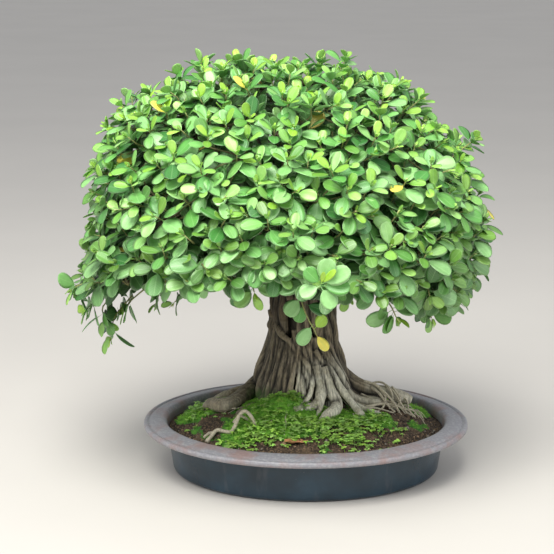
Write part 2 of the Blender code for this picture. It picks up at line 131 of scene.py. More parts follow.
class GroundSettings(bpy.types.PropertyGroup):
    seed: count("Seed", "Random arrangement of grit, moss and seedlings", 11)
    mound: size("Mound", "Rise of the soil from the wall to the trunk", 0.022)
    level: share("Level share", "Share of the soil's radius that is level", 0.60)
    bump: size("Bumps", "Height of the soil's bumps", 0.0022)
    grains: count("Grains", "Crumbs and grit on bare soil", 1500)
    tips: count("Moss tips", "Leafy moss tips", 9500)
    seedlings: count("Seedlings", "Clover seedlings", 640)
    soil: colour("Soil", "Damp soil", "#372b20")
    dry: colour("Dry soil", "Dried crumbs", "#75604a")
    moss: colour("Moss", "Lit moss tips", "#90d04e")
    moss_deep: colour("Deep moss", "Moss between its tips", "#43782a")
    clover: colour("Clover", "Seedling leaves", "#a9df76")
    leaf: colour("Dry leaf", "Fallen leaf", "#cc9668")


class WoodSettings(bpy.types.PropertyGroup):
    seed: count("Seed", "Random sway of the strands and thin roots", 5)
    limb_seed: count("Limb seed", "Random bends of the limbs", 31)
    x: size("Trunk X", "The trunk's axis", -0.004)
    y: size("Trunk Y", "The trunk's axis", 0.034)
    voxel: size("Voxel", "Fineness of the fused wood", 0.00115)
    waist: size("Waist", "Trunk radius under the crown", 0.0392)
    flare: size("Flare", "How much wider the trunk is at the soil", 0.023)
    flare_height: size("Flare height", "Height over which it widens", 0.066)
    bark: colour("Bark", "Bark of the trunk", "#5e4e34")
    grey: colour("Exposed root", "Weathered bare roots", "#a9a697")
    pale: colour("Pale root", "Thin dry roots", "#d6ccb2")
    twig: colour("Twig", "Young shoots", "#a3a765")


class CrownSettings(bpy.types.PropertyGroup):
    seed: count("Seed", "Random arrangement", 7)
    length: size("Leaf length", "Blade of a full-grown leaf", 0.0270)
    width: share("Leaf width", "Width as a share of the length", 0.74)
    lumps: size("Lumps", "Unevenness of the clipped dome", 0.013)
    mature: colour("Mature", "Full-grown leaves", "#5fa546")
    deep: colour("Deep", "Old and shaded leaves", "#2f722c")
    # Pale tone: partly a real bloom, partly a painted sheen for the sky's reflection on the wax
    light: colour("Light", "Leaves with a pale bloom", "#97cd80")
    young: colour("Young", "Leaves at the shoots' tips", "#a6d436")
    yellow: colour("Yellow", "Leaves about to drop", "#f2e05a")
    bud: colour("Bud", "Leaf buds at the shoots' tips", "#e9e3a0")


class StageSettings(bpy.types.PropertyGroup):
    distance: size("Distance", "From the camera to the tray's middle", 2.0)
    height: size("Height", "Camera height", 0.743)
    pitch: angle("Pitch", "Downward tilt", 13.56)
    turn: angle("Turn", "Turn to the left", 1.09)
    lens: share("Lens", "Focal length in millimetres", 102.7)
    floor: colour("Floor", "Plain floor", "#cbc6c0")


GROUPS = {
    "tray": TraySettings, "ground": GroundSettings, "wood": WoodSettings, "crown": CrownSettings,
    "stage": StageSettings,
}


def settings(group):
    """The scene's settings for one group of pieces."""
    return getattr(bpy.context.scene, "bonsai_" + group)


# ------------------------------------------------------------------ materials


def set_inputs(node, inputs):
    """Gives each input its value, or a link from a socket or from another node's result."""
    for key, value in dict(inputs).items():
        socket = node.inputs[key]
        if isinstance(value, bpy.types.Node):
            value = next(output for output in value.outputs if output.enabled)
        if isinstance(value, bpy.types.NodeSocket):
            node.id_data.links.new(value, socket)
        elif socket.type == "RGBA":
            socket.default_value = (*value, 1.0)
        else:
            socket.default_value = value


def add_node(tree, kind, inputs=(), stops=(), **options):
    """Adds one shader node with its options, a ramp's (place, colour or grey) stops and its inputs."""
    node = tree.nodes.new("ShaderNode" + kind)
    for name, value in options.items():
        setattr(node, name, value)
    while stops and len(node.color_ramp.elements) < len(stops):
        node.color_ramp.elements.new(0.5)
    for number, (place, tone) in enumerate(stops):
        node.color_ramp.elements[number].position = place
        node.color_ramp.elements[number].color = (*np.broadcast_to(tone, 3), 1.0)
    set_inputs(node, inputs)
    return node


def new_material(name, roughness=0.5):
    """A material with its node tree, Principled shader and object-space position."""
    made = bpy.data.materials.new(name)
    made.use_nodes = True
    tree = made.node_tree
    shader = tree.nodes["Principled BSDF"]
    set_inputs(shader, {"Roughness": roughness, "IOR": 1.5})
    return made, tree, shader, add_node(tree, "TexCoord").outputs["Object"]


def per_mm(size_mm):
    """Noise scale for features of that size."""
    return 1000.0 / size_mm


def times(tone, factor):
    return tuple(min(1.0, c * factor) for c in tone)


def glaze_material(s):
    # Glaze dipped and fired semi-matt: dark and softly glossy on the body, chalky with lime on the flange
    made, tree, shader, place = new_material("Dipped slate glaze on stoneware")
    rim = add_node(tree, "Attribute", attribute_name="rim").outputs["Fac"]
    fine = add_node(
        tree, "TexNoise", {"Vector": place, "Scale": per_mm(3.5), "Detail": 5.0, "Roughness": 0.6}
    )
    cloud = add_node(tree, "TexNoise", {"Vector": place, "Scale": per_mm(42), "Detail": 4.0})
    upright = add_node(tree, "Mapping", {"Vector": place, "Scale": (1.0, 1.0, 0.2)})
    streak = add_node(tree, "TexNoise", {"Vector": upright, "Scale": per_mm(17), "Detail": 4.0})
    stops = ((0.30, times(s.glaze, 0.66)), (0.52, s.glaze), (0.74, times(s.glaze, 1.5)))
    body = add_node(tree, "ValToRGB", {"Fac": cloud}, stops)
    run = add_node(tree, "ValToRGB", {"Fac": streak}, ((0.58, 0.0), (0.82, 0.55)))
    body = add_node(tree, "Mix", {0: run, 6: body, 7: times(s.flange, 0.45)}, data_type="RGBA")
    chalk = add_node(
        tree, "ValToRGB", {"Fac": fine}, ((0.25, times(s.flange, 0.84)), (0.50, s.flange), (0.80, s.deposit))
    )
    worn = add_node(tree, "TexNoise", {"Vector": place, "Scale": per_mm(26), "Detail": 6.0})
    worn = add_node(tree, "ValToRGB", {"Fac": worn}, ((0.46, 0.0), (0.66, 0.70)))
    chalk = add_node(tree, "Mix", {0: worn, 6: chalk, 7: s.clay}, data_type="RGBA")
    ragged = add_node(tree, "Math", {0: rim, 1: fine}, operation="ADD")
    edge = add_node(tree, "ValToRGB", {"Fac": ragged}, ((0.72, 0.0), (1.02, 1.0)))
    tone = add_node(tree, "Mix", {0: edge, 6: body, 7: chalk}, data_type="RGBA")
    gloss = add_node(tree, "ValToRGB", {"Fac": edge}, ((0.0, 0.26), (1.0, 0.44)))
    relief = add_node(tree, "Bump", {"Height": fine, "Strength": 0.25, "Distance": 0.0004})
    set_inputs(shader, {"Base Color": tone, "Roughness": gloss, "Normal": relief})
    return made


def soil_material(s):
    # Damp bark-and-loam soil: dark, crumbly and dull, with lighter dry crumbs
    made, tree, shader, place = new_material("Sifted damp loam", 0.92)
    crumb = add_node(tree, "TexNoise", {"Vector": place, "Scale": per_mm(2.6), "Detail": 7.0})
    wide = add_node(tree, "TexNoise", {"Vector": place, "Scale": per_mm(22), "Detail": 3.0})
    stops = ((0.34, times(s.soil, 0.35)), (0.50, s.soil), (0.66, s.dry), (0.80, times(s.dry, 1.5)))
    tone = add_node(tree, "ValToRGB", {"Fac": crumb}, stops)
    dried = add_node(tree, "ValToRGB", {"Fac": wide}, ((0.45, 0.0), (0.68, 0.5)))
    tone = add_node(tree, "Mix", {0: dried, 6: tone, 7: s.dry}, data_type="RGBA")
    relief = add_node(tree, "Bump", {"Height": crumb, "Strength": 0.9, "Distance": 0.0016})
    set_inputs(shader, {"Base Color": tone, "Normal": relief})
    return made


def bark_material(s):
    # Grown bark: fibrous and dull, weathered grey on bare roots, green by the soil, with painted shade in
    # hollows and painted highlights on raised wood
    made, tree, shader, place = new_material("Weathered banyan bark", 0.78)
    ridge, grey, green = (
        add_node(tree, "Attribute", attribute_name=name).outputs["Fac"] for name in ("ridge", "grey", "green")
    )
    along = add_node(tree, "Mapping", {"Vector": place, "Scale": (1.0, 1.0, 0.18)})
    fibre = add_node(tree, "TexNoise", {"Vector": along, "Scale": per_mm(2.2), "Detail": 6.0})
    patch = add_node(tree, "TexNoise", {"Vector": place, "Scale": per_mm(13), "Detail": 5.0})
    streak = add_node(tree, "ValToRGB", {"Fac": fibre}, ((0.36, 0.0), (0.66, 1.0)))
    brown = add_node(
        tree, "Mix", {0: streak, 6: times(s.bark, 0.62), 7: times(s.bark, 1.3)}, data_type="RGBA"
    )
    bare = add_node(
        tree, "Mix", {0: streak, 6: times(s.grey, 0.66), 7: times(s.grey, 1.12)}, data_type="RGBA"
    )
    tone = add_node(tree, "Mix", {0: grey, 6: brown, 7: bare}, data_type="RGBA")
    blotch = add_node(tree, "ValToRGB", {"Fac": patch}, ((0.36, (0.62, 0.58, 0.50)), (0.62, 1.0)))
    tone = add_node(tree, "Mix", {0: 0.7, 6: tone, 7: blotch}, data_type="RGBA", blend_type="MULTIPLY")
    # Painted light and shade: near black in hollows, lighter than the bark on raised strands
    shade = add_node(
        tree, "ValToRGB", {"Fac": ridge}, ((0.12, (0.06, 0.050, 0.034)), (0.48, 0.52), (0.92, 1.80))
    )
    tone = add_node(tree, "Mix", {0: 1.0, 6: tone, 7: shade}, data_type="RGBA", blend_type="MULTIPLY")
    film = add_node(tree, "Math", {0: green, 1: patch}, operation="MULTIPLY")
    film = add_node(tree, "ValToRGB", {"Fac": film}, ((0.26, 0.0), (0.52, 0.8)))
    tone = add_node(tree, "Mix", {0: film, 6: tone, 7: (0.052, 0.115, 0.020)}, data_type="RGBA")
    relief = add_node(tree, "Bump", {"Height": fibre, "Strength": 0.8, "Distance": 0.0009})
    set_inputs(shader, {"Base Color": tone, "Normal": relief})
    return made


def fibre_material(name, pale, dark, grain_mm, roughness):
    # Threads, thin roots and shoots: a fine grain over a tone that goes from pale to dark with age
    made, tree, shader, place = new_material(name, roughness)
    age = add_node(tree, "Attribute", attribute_name="age").outputs["Fac"]
    grain = add_node(tree, "TexNoise", {"Vector": place, "Scale": per_mm(grain_mm), "Detail": 5.0})
    tone = add_node(tree, "Mix", {0: age, 6: pale, 7: dark}, data_type="RGBA")
    shade = add_node(tree, "ValToRGB", {"Fac": grain}, ((0.32, 0.50), (0.62, 1.0)))
    tone = add_node(tree, "Mix", {0: 0.85, 6: tone, 7: shade}, data_type="RGBA", blend_type="MULTIPLY")
    relief = add_node(tree, "Bump", {"Height": grain, "Strength": 0.6, "Distance": 0.0004})
    set_inputs(shader, {"Base Color": tone, "Normal": relief})
    return made


VEIN_RATE = 70.0  # about eleven pairs of side veins along a blade
VEIN_DEPTH = 0.0001


def leaf_material(name, underside):
    # Waxy fig leaf: soft sheen, faint midrib and side veins, pale margin; duller and paler underneath
    made, tree, shader, place = new_material(name, 0.58 if underside else 0.43)
    own = add_node(tree, "Attribute", attribute_name="leaf_colour").outputs["Color"]
    spot = add_node(tree, "SeparateXYZ", {0: add_node(tree, "UVMap", uv_map="Blade")})
    across = add_node(tree, "Math", {0: spot.outputs["X"], 1: 0.5}, operation="SUBTRACT")
    across = add_node(tree, "Math", {0: across}, operation="ABSOLUTE")
    slant = add_node(tree, "Math", {0: across, 1: -0.55, 2: spot.outputs["Y"]}, operation="MULTIPLY_ADD")
    side_veins = add_node(tree, "Math", {0: slant, 1: VEIN_RATE}, operation="MULTIPLY")
    side_veins = add_node(tree, "Math", {0: side_veins}, operation="SINE")
    mottle = add_node(tree, "TexNoise", {"Vector": place, "Scale": per_mm(6), "Detail": 4.0})
    mottle = add_node(
        tree, "ValToRGB", {"Fac": mottle}, ((0.3, (0.72, 0.80, 0.70)), (0.7, (1.12, 1.06, 1.12)))
    )
    tone = add_node(tree, "Mix", {0: 0.6, 6: own, 7: mottle}, data_type="RGBA", blend_type="MULTIPLY")
    drawn = (
        (side_veins, ((0.60, 0.0), (1.0, 0.10)), (0.40, 0.66, 0.30)),
        (across, ((0.010, 0.24), (0.034, 0.0)), (0.42, 0.68, 0.30)),
        (across, ((0.41, 0.0), (0.50, 0.50)), (0.52, 0.78, 0.40)),
    )
    for factor, stops, vein in drawn:
        amount = add_node(tree, "ValToRGB", {"Fac": factor}, stops)
        tone = add_node(tree, "Mix", {0: amount, 6: tone, 7: vein}, data_type="RGBA")
    if underside:
        tone = add_node(tree, "Mix", {0: 0.30, 6: tone, 7: (0.34, 0.52, 0.26)}, data_type="RGBA")
    relief = add_node(tree, "Bump", {"Height": side_veins, "Strength": 0.2, "Distance": VEIN_DEPTH})
    level = 0.35 if underside else 0.85
    set_inputs(shader, {"Base Color": tone, "Normal": relief, "Specular IOR Level": level})
    return made


def moss_material(s):
    # Cushion moss: a dull dense pile, bright at its tips and dark between them
    made, tree, shader, place = new_material("Living cushion moss", 0.95)
    tip = add_node(tree, "Attribute", attribute_name="tip").outputs["Fac"]
    clump = add_node(tree, "TexNoise", {"Vector": place, "Scale": per_mm(9), "Detail": 4.0})
    pile = add_node(tree, "TexNoise", {"Vector": place, "Scale": per_mm(1.1), "Detail": 3.0})
    stops = ((0.0, times(s.moss_deep, 0.5)), (0.45, s.moss_deep), (1.0, s.moss))
    tone = add_node(tree, "ValToRGB", {"Fac": tip}, stops)
    light = add_node(
        tree, "ValToRGB", {"Fac": clump}, ((0.35, (0.60, 0.72, 0.50)), (0.65, (1.4, 1.25, 0.95)))
    )
    tone = add_node(tree, "Mix", {0: 0.8, 6: tone, 7: light}, data_type="RGBA", blend_type="MULTIPLY")
    relief = add_node(tree, "Bump", {"Height": pile, "Strength": 0.8, "Distance": 0.0008})
    set_inputs(shader, {"Base Color": tone, "Normal": relief})
    return made


def speckled_material(name, roughness, grain_mm):
    # Small loose things: each keeps its own colour, and a fine grain makes it look dull and natural
    made, tree, shader, place = new_material(name, roughness)
    own = add_node(tree, "Attribute", attribute_name="own").outputs["Color"]
    grain = add_node(tree, "TexNoise", {"Vector": place, "Scale": per_mm(grain_mm), "Detail": 4.0})
    shade = add_node(tree, "ValToRGB", {"Fac": grain}, ((0.3, 0.62), (0.68, 1.1)))
    tone = add_node(tree, "Mix", {0: 0.8, 6: own, 7: shade}, data_type="RGBA", blend_type="MULTIPLY")
    relief = add_node(tree, "Bump", {"Height": grain, "Strength": 0.4, "Distance": 0.0003})
    set_inputs(shader, {"Base Color": tone, "Normal": relief})
    return made


# ------------------------------------------------------------------ mesh tools


def smoothstep(x):
    x = np.clip(x, 0.0, 1.0)
    return x * x * (3 - 2 * x)


def blend(a, b, part):
    return a + (b - a) * part


def unit(v):
    return v / (np.linalg.norm(v) + 1e-12)


def bumps(x, y, z, feature, octaves=3):
    """Smooth noise, about -1 to 1, with features of that size."""
    return noise.fractal(Vector((x, y, z)) / feature, 0.9, 2.0, octaves)


def polar(turn_deg, distance, z):
    """A point at a direction and distance from the trunk's axis."""
    s, turn = settings("wood"), math.radians(turn_deg)
    return (s.x + distance * math.cos(turn), s.y + distance * math.sin(turn), z)


def add_piece(mesh, materials, slot, *replaced):
    """Shows a finished mesh as a piece of the plant, named after the mesh."""
    obj = bpy.data.objects.new(mesh.name, mesh)
    bpy.context.scene.collection.objects.link(obj)
    for finish in materials:
        mesh.materials.append(finish)
    mesh.shade_smooth()
    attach(obj, "root")
    if replaced:
        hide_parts(*replaced)
    return obj


def mesh_from(name, points, faces, **values):
    """A mesh from arrays, with named numbers or colours per point."""
    mesh = bpy.data.meshes.new(name)
    faces = faces.tolist() if isinstance(faces, np.ndarray) else faces
    mesh.from_pydata(np.asarray(points, float).tolist(), [], faces)
    for label, data in values.items():
        data = np.asarray(data, np.float32)
        if data.ndim == 1:
            mesh.attributes.new(label, "FLOAT", "POINT").data.foreach_set("value", data)
        else:
            rgba = np.concatenate([data, np.ones((len(data), 1), np.float32)], axis=1)
            mesh.attributes.new(label, "FLOAT_COLOR", "POINT").data.foreach_set("color", rgba.ravel())
    mesh.update()
    return mesh


class Soup:
    """Gathers many small shapes into one mesh, each with a number or a colour."""

    def __init__(self):
        self.points, self.faces, self.values, self.count = [], [], [], 0

    def add(self, points, faces, value):
        """Adds a shape; the value is one for the whole shape, or a row for each of its points."""
        self.faces += [tuple(self.count + i for i in face) for face in faces]
        self.points.append(np.asarray(points, float))
        values = np.asarray(value, float)
        self.values.append(values if values.ndim == 2 else np.tile(values, (len(points), 1)))
        self.count += len(points)

    def mesh(self, name, label):
        values = np.concatenate(self.values)
        values = values[:, 0] if values.shape[1] == 1 else values
        return mesh_from(name, np.concatenate(self.points), self.faces, **{label: values})


def tube(path, radii, sides=8):
    """Points and faces of a capped tube, with no twist along it."""
    path = np.asarray(path, float)
    radii = np.broadcast_to(np.asarray(radii, float), (len(path),))
    tangents = np.gradient(path, axis=0)
    tangents /= np.linalg.norm(tangents, axis=1)[:, None] + 1e-12
    side = np.cross(tangents[0], (0.0, 0.0, 1.0))
    if np.linalg.norm(side) < 0.1:
        side = np.cross(tangents[0], (0.0, 1.0, 0.0))
    turns = np.arange(sides) * TURN / sides
    points = []
    for centre, tangent, radius in zip(path, tangents, radii):
        side = unit(side - tangent * (side @ tangent))
        ring = np.outer(np.cos(turns), side) + np.outer(np.sin(turns), np.cross(tangent, side))
        points.append(centre + radius * ring)
    return np.concatenate(points), capped(len(path), sides)


def ring_faces(rings, n, first=0):
    """Faces between rings of n points, each ring after the one before, from the first point on."""
    edges = [(first + i * n + j, first + i * n + (j + 1) % n) for i in range(rings - 1) for j in range(n)]
    return [(a, b, b + n, a + n) for a, b in edges]


def capped(rings, n):
    """Faces of a closed body made of rings of n points, with a cap at each end."""
    return ring_faces(rings, n) + [tuple(range(n - 1, -1, -1)), tuple(range((rings - 1) * n, rings * n))]


def line_through(points, samples):
    """A Catmull-Rom line through points."""
    points = np.asarray(points, float)
    padded = np.vstack([2 * points[0] - points[1], points, 2 * points[-1] - points[-2]])
    at = np.linspace(0, len(points) - 1, samples)
    index = np.minimum(at.astype(int), len(points) - 2)
    t = (at - index)[:, None]
    p0, p1, p2, p3 = (padded[index + k] for k in range(4))
    return 0.5 * (
        2 * p1 + (p2 - p0) * t + (2 * p0 - 5 * p1 + 4 * p2 - p3) * t**2 + (3 * p1 - p0 - 3 * p2 + p3) * t**3
    )


def apply_modifiers(obj):
    """Swaps the object's mesh for what its modifiers make of it."""
    graph = bpy.context.evaluated_depsgraph_get()
    made = bpy.data.meshes.new_from_object(obj.evaluated_get(graph))
    obj.modifiers.clear()
    obj.data = made


# ------------------------------------------------------------------ tray


DRAINS = ("drain_screen_left", "drain_screen_right")


def tray_section(s, height):
    """The wall's section: distance in from the rim's edge, height, and how chalky the glaze is there."""
    mouth, foot, corner = s.rim_width, s.rim_width + s.lean, s.foot
    top = height - s.rim_fall
    low = top - s.lip
    section = [
        (foot + corner + 0.006, 0.0016, 0.0), (foot + corner + 0.003, 0.0002, 0.0),
        (foot + corner, 0.0, 0.0),
    ]
    for i in range(1, 7):
        turn = math.pi / 2 * i / 6
        section.append((foot + corner * (1 - math.sin(turn)), corner * (1 - math.cos(turn)), 0.0))
    for part in np.linspace(0.15, 1.0, 7):
        section.append((blend(foot, mouth + 0.0020, part), blend(corner, low - 0.003, part), 0.0))
    section += [
        (mouth + 0.0002, low - 0.0012, 0.05), (mouth - 0.0030, low, 0.2), (0.0120, low - 0.0002, 0.3),
        (0.0040, low, 0.5), (0.0017, low + 0.0006, 0.8), (0.0005, low + 0.0020, 0.85),
        (0.0, low + s.lip * 0.5, 0.8), (0.0004, top - 0.0016, 0.9), (0.0017, top - 0.0003, 1.0),
        (0.0034, top + 0.0002, 1.0), (0.0052, top - 0.0001, 0.9), (0.0064, top - 0.0009, 0.55),
        (0.0076, top - 0.0009, 0.55), (0.0090, top + 0.0003, 0.9), (0.0130, top + 0.0012, 1.0),
        (0.0185, height - 0.0008, 1.0), (0.0232, height - 0.0001, 1.0), (mouth - 0.0030, height, 0.95),
        (mouth - 0.0010, height - 0.0007, 0.9), (mouth + 0.0008, height - 0.0022, 0.8),
        (mouth + 0.0024, height - 0.0060, 0.7), (mouth + 0.0034, height - 0.0120, 0.6),
    ]
    inner = foot + s.wall
    for part in np.linspace(0.25, 1.0, 5):
        section.append(
            (blend(mouth + 0.0034, inner, part), blend(height - 0.012, s.floor + corner, part), 0.1)
        )
    for i in range(1, 5):
        turn = math.pi / 2 * i / 4
        section.append(
            (inner + corner * 0.8 * (1 - math.cos(turn)), s.floor + corner * (1 - math.sin(turn)), 0.1)
        )
    return section


def build_tray():
    """The glazed tray, turned from its section to an oval, with two drilled drain holes."""
    s = settings("tray")
    points, rims = [], []
    section = tray_section(s, TRAY_HIGH.z)
    n = s.segments
    for inset, z, rim in section:
        for j in range(n):
            c, d = math.cos(j * TURN / n), math.sin(j * TURN / n)
            wobble = 0.0004 * bumps(c, d, z * 8, 0.4, 1) * (z > 0.02)
            points.append(((TRAY_HIGH.x - inset) * c, (TRAY_HIGH.y - inset) * d, z + wobble))
            rims.append(rim)
    mesh = mesh_from("tray_glazed", points, capped(len(section), n), rim=rims)
    tray = add_piece(mesh, [glaze_material(s)], "stoneware", "tray")
    for node in DRAINS:
        middle = sum(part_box(node), Vector()) / 2
        bm = bmesh.new()
        place = Matrix.Translation((middle.x, middle.y, 0.0))
        bmesh.ops.create_cone(
            bm, cap_ends=True, segments=40, radius1=s.drain, radius2=s.drain, depth=4 * s.floor, matrix=place
        )
        mesh = bpy.data.meshes.new("drill")
        bm.to_mesh(mesh)
        bm.free()
        drill = bpy.data.objects.new("drill", mesh)
        bpy.context.scene.collection.objects.link(drill)
        cut = tray.modifiers.new("hole", "BOOLEAN")
        cut.object, cut.operation, cut.solver = drill, "DIFFERENCE", "EXACT"
        apply_modifiers(tray)
        bpy.data.objects.remove(drill, do_unlink=True)


SCREEN_THREADS = 11  # each way, coarser than the real mesh
THREAD_RADIUS = 0.0002


def build_screens():
    """Woven mesh squares over the drain holes: threads that pass over and under each other."""
    finish = fibre_material("Woven black polyethylene", linear("#1b1b1d"), linear("#2a2a2c"), 1.5, 0.5)
    for node in DRAINS:
        low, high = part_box(node)
        half = (high.x - low.x) / 2 - 0.0004
        soup = Soup()
        step = np.arange(2 * SCREEN_THREADS - 1)
        run = np.linspace(-half, half, len(step))
        for k in range(2 * SCREEN_THREADS):
            across, thread = divmod(k, SCREEN_THREADS)
            lift = 1.1 * THREAD_RADIUS * np.cos(step * math.pi / 2 + math.pi * (thread + across))
            place = blend(-half, half, thread / (SCREEN_THREADS - 1))
            line = np.stack([run, np.full(len(step), place), lift], axis=1)
            if across:
                line = line[:, [1, 0, 2]]
            soup.add(*tube(line + np.array((low + high) / 2), THREAD_RADIUS, 5), 0.5)
        add_piece(soup.mesh(node + "_woven", "age"), [finish], "screen", node)


# ------------------------------------------------------------------ soil and what grows on it


MARGIN = 0.0006  # the planted oval is this much larger than the modelled soil, and RIM_GAP trims it again
RIM_GAP = 0.0012
LENGTH, DEPTH = SOIL_HIGH.x + MARGIN, SOIL_HIGH.y + MARGIN
SOIL_RINGS, SOIL_SEGMENTS = 74, 220
SKIRT_TOP, SKIRT_IN, SKIRT_DOWN = 0.023, 0.0085, 0.011  # two steps in and down, under the soil's edge
MOSS_STEP = 0.0021


def mound(x, y):
    """Height of the smooth mound."""
    s = settings("ground")
    q = np.hypot(np.asarray(x) / LENGTH, np.asarray(y) / DEPTH)
    return SOIL_HIGH.z - s.mound * smoothstep((q - s.level) / (1 - s.level))


def soil_at(x, y):
    """Height of the bumpy soil."""
    q = math.hypot(x / LENGTH, y / DEPTH)
    bump = settings("ground").bump * (1 if q < 0.96 else 0.4)
    return float(mound(x, y)) + bump * bumps(x, y, 0.3, 0.011, 4) - 0.0006


# Mossy places: middle, half sizes along X and Y, how dense, and how much higher the cushion stands
MOSSY = (
    (-0.036, -0.036, 0.050, 0.036, 0.95, 0.0040), (-0.034, -0.034, 0.028, 0.016, 0.9, 0.0130),
    (-0.010, -0.028, 0.030, 0.013, 0.9, 0.0150),
    (-0.056, -0.004, 0.022, 0.026, 0.9, 0.0100),
    (0.020, -0.050, 0.050, 0.030, 0.70, 0.0020), (-0.060, -0.066, 0.060, 0.028, 0.55, 0.0010),
    (-0.140, 0.016, 0.030, 0.044, 0.62, 0.0020), (0.090, -0.040, 0.034, 0.026, 0.50, 0.0010),
    (0.150, 0.050, 0.020, 0.030, 0.65, 0.0015), (0.040, 0.100, 0.070, 0.026, 0.6, 0.0015),
    (-0.090, 0.088, 0.050, 0.026, 0.6, 0.0015), (0.010, 0.000, 0.060, 0.030, 0.5, 0.0),
)


def mossiness(x, y):
    """How mossy a spot is, from 0 to 1, and how high the moss stands there."""
    amount, rise = -0.10 + 0.34 * bumps(x, y, 2.7, 0.032), 0.0
    for x0, y0, wide, deep, dense, high in MOSSY:
        near = math.exp(-(((x - x0) / wide) ** 2 + ((y - y0) / deep) ** 2))
        amount, rise = amount + dense * near, rise + high * near
    amount = float(smoothstep((amount - 1.6 * max(0.0, math.hypot(x / LENGTH, y / DEPTH) - 0.93)) / 0.42))
    lump = 0.5 + 0.5 * bumps(x, y, 5.1, 0.0065)
    return amount, soil_at(x, y) + amount * (rise + 0.0012 + 0.0036 * max(0.0, lump)) - 0.0006


def random_spot(rng, widest):
    """A spot on the soil, evenly spread within that share of its area."""
    turn, q = rng.uniform(0, TURN), math.sqrt(rng.uniform(0.0, widest))
    return LENGTH * q * math.cos(turn), DEPTH * q * math.sin(turn)


def build_soil():
    """The soil: bumpy rings from the middle to the wall, closed by a skirt and a flat underside."""
    rings, n = SOIL_RINGS, SOIL_SEGMENTS
    points = [(0.0, 0.0, soil_at(0.0, 0.0))]
    for i in range(1, rings + 3):
        under = max(0, i - rings)
        inset = RIM_GAP + under * SKIRT_IN
        for j in range(n):
            c, d = math.cos(j * TURN / n), math.sin(j * TURN / n)
            q = min(1.0, i / rings) ** 0.9
            x, y = (LENGTH - inset) * q * c, (DEPTH - inset) * q * d
            points.append((x, y, SOIL_LOW.z + SKIRT_TOP - under * SKIRT_DOWN if under else soil_at(x, y)))
    faces = [(0, 1 + j, 1 + (j + 1) % n) for j in range(n)]
    faces += [(a, d, c, b) for a, b, c, d in ring_faces(rings + 2, n, 1)]
    faces.append(tuple(1 + (rings + 1) * n + j for j in range(n - 1, -1, -1)))
    add_piece(mesh_from("soil_crumbly", points, faces), [soil_material(settings("ground"))], "soil", "soil")


def build_grains(rng):
    """Loose grit and crumbs on the bare soil."""
    s = settings("ground")
    bm = bmesh.new()
    bmesh.ops.create_icosphere(bm, subdivisions=1, radius=1.0)
    ball, ball_faces = np.array([v.co for v in bm.verts]), [tuple(v.index for v in f.verts) for f in bm.faces]
    bm.free()
    tones = (s.soil, s.dry, times(s.dry, 1.9), times(s.soil, 0.5), linear("#8c8478"))
    soup = Soup()
    for _ in range(s.grains):
        x, y = random_spot(rng, 0.92)
        if mossiness(x, y)[0] > rng.uniform(0.25, 1.0):
            continue
        grain = rng.uniform(0.0005, 0.0016) * (1 + (rng.random() < 0.06) * 0.9)
        shape = ball * (1 + 0.25 * rng.standard_normal((len(ball), 1))) * rng.uniform(0.6, 1.2, 3) * grain
        soup.add(shape + (x, y, soil_at(x, y) + grain * 0.25), ball_faces, tones[rng.integers(len(tones))])
    add_piece(
        soup.mesh("soil_grit", "own"),
        [speckled_material("Crushed grit", roughness=0.85, grain_mm=1.2)],
        "soil",
    )


def build_moss(rng):
    """A lumpy carpet of moss with tiny leafy tips standing on it."""
    index, points, tips, faces = {}, [], [], []
    most_i, most_j = int(LENGTH / MOSS_STEP), int(DEPTH / MOSS_STEP)
    for i in range(-most_i, most_i + 1):
        for j in range(-most_j, most_j + 1):
            x, y = i * MOSS_STEP, j * MOSS_STEP
            if (x / LENGTH) ** 2 + (y / DEPTH) ** 2 > 0.965:
                continue
            amount, z = mossiness(x, y)
            if amount > 0.02:
                index[i, j] = len(points)
                points.append((x, y, z))
                tips.append((0.34 + 0.36 * amount,))
    for (i, j), a in index.items():
        corners = [index.get(k) for k in ((i + 1, j), (i + 1, j + 1), (i, j + 1))]
        if None not in corners:
            faces.append((a, *corners))
    soup = Soup()
    soup.add(points, faces, tips)
    for _ in range(settings("ground").tips * 3):
        x, y = random_spot(rng, 0.93)
        amount, z = mossiness(x, y)
        if amount < rng.uniform(0.15, 0.95) or rng.random() < 0.45:
            continue
        height = rng.uniform(0.0018, 0.0046)
        top = np.array((*rng.uniform(-0.5, 0.5, 2), 1.0)) * height
        for k in range(5):
            turn = k * 2.4 + rng.uniform(0, 1)
            out = np.array([math.cos(turn), math.sin(turn), 0.25]) * height * rng.uniform(0.45, 0.75)
            base = top * (0.35 + 0.14 * k) + (x, y, z - 0.0005)
            side = np.cross(out, (0, 0, 0.26))
            half = base + out * 0.5
            soup.add((base, half + side, base + out, half - side), [(0, 1, 2, 3)], 0.60 + 0.1 * k)
    places = ("front_left", "left", "front_right", "right", "back_right", "back_left")
    nodes = ["moss_" + place for place in places]
    add_piece(soup.mesh("moss_carpet", "tip"), [moss_material(settings("ground"))], "moss", *nodes)


def leaflet(length, width, cup, droop):
    """A small round-tipped leaflet lying along +Y."""
    points = []
    for along, wide in ((0.0, 0.10), (0.3, 0.72), (0.6, 1.0), (0.85, 0.72), (1.0, 0.14)):
        for across in (-1, 0, 1):
            lift = abs(across) * cup * wide * width - droop * along**2 * length
            points.append((across * wide * width / 2, along * length, lift))
    return np.array(points), [(a, a + 1, a + 4, a + 3) for i in range(4) for a in (3 * i, 3 * i + 1)]


# Where seedlings grow: middle, spread along X and Y, and share of them
BEDS = (
    (-0.066, -0.096, 0.036, 0.015, 0.18), (0.050, -0.100, 0.038, 0.015, 0.21),
    (-0.010, -0.086, 0.060, 0.018, 0.16),
    (0.096, -0.062, 0.028, 0.020, 0.09), (-0.140, 0.012, 0.020, 0.034, 0.08),
    (0.040, -0.070, 0.040, 0.012, 0.10),
    (-0.036, -0.040, 0.036, 0.016, 0.12), (-0.010, -0.034, 0.028, 0.008, 0.06),
)


STEM_RADIUS = 0.00028


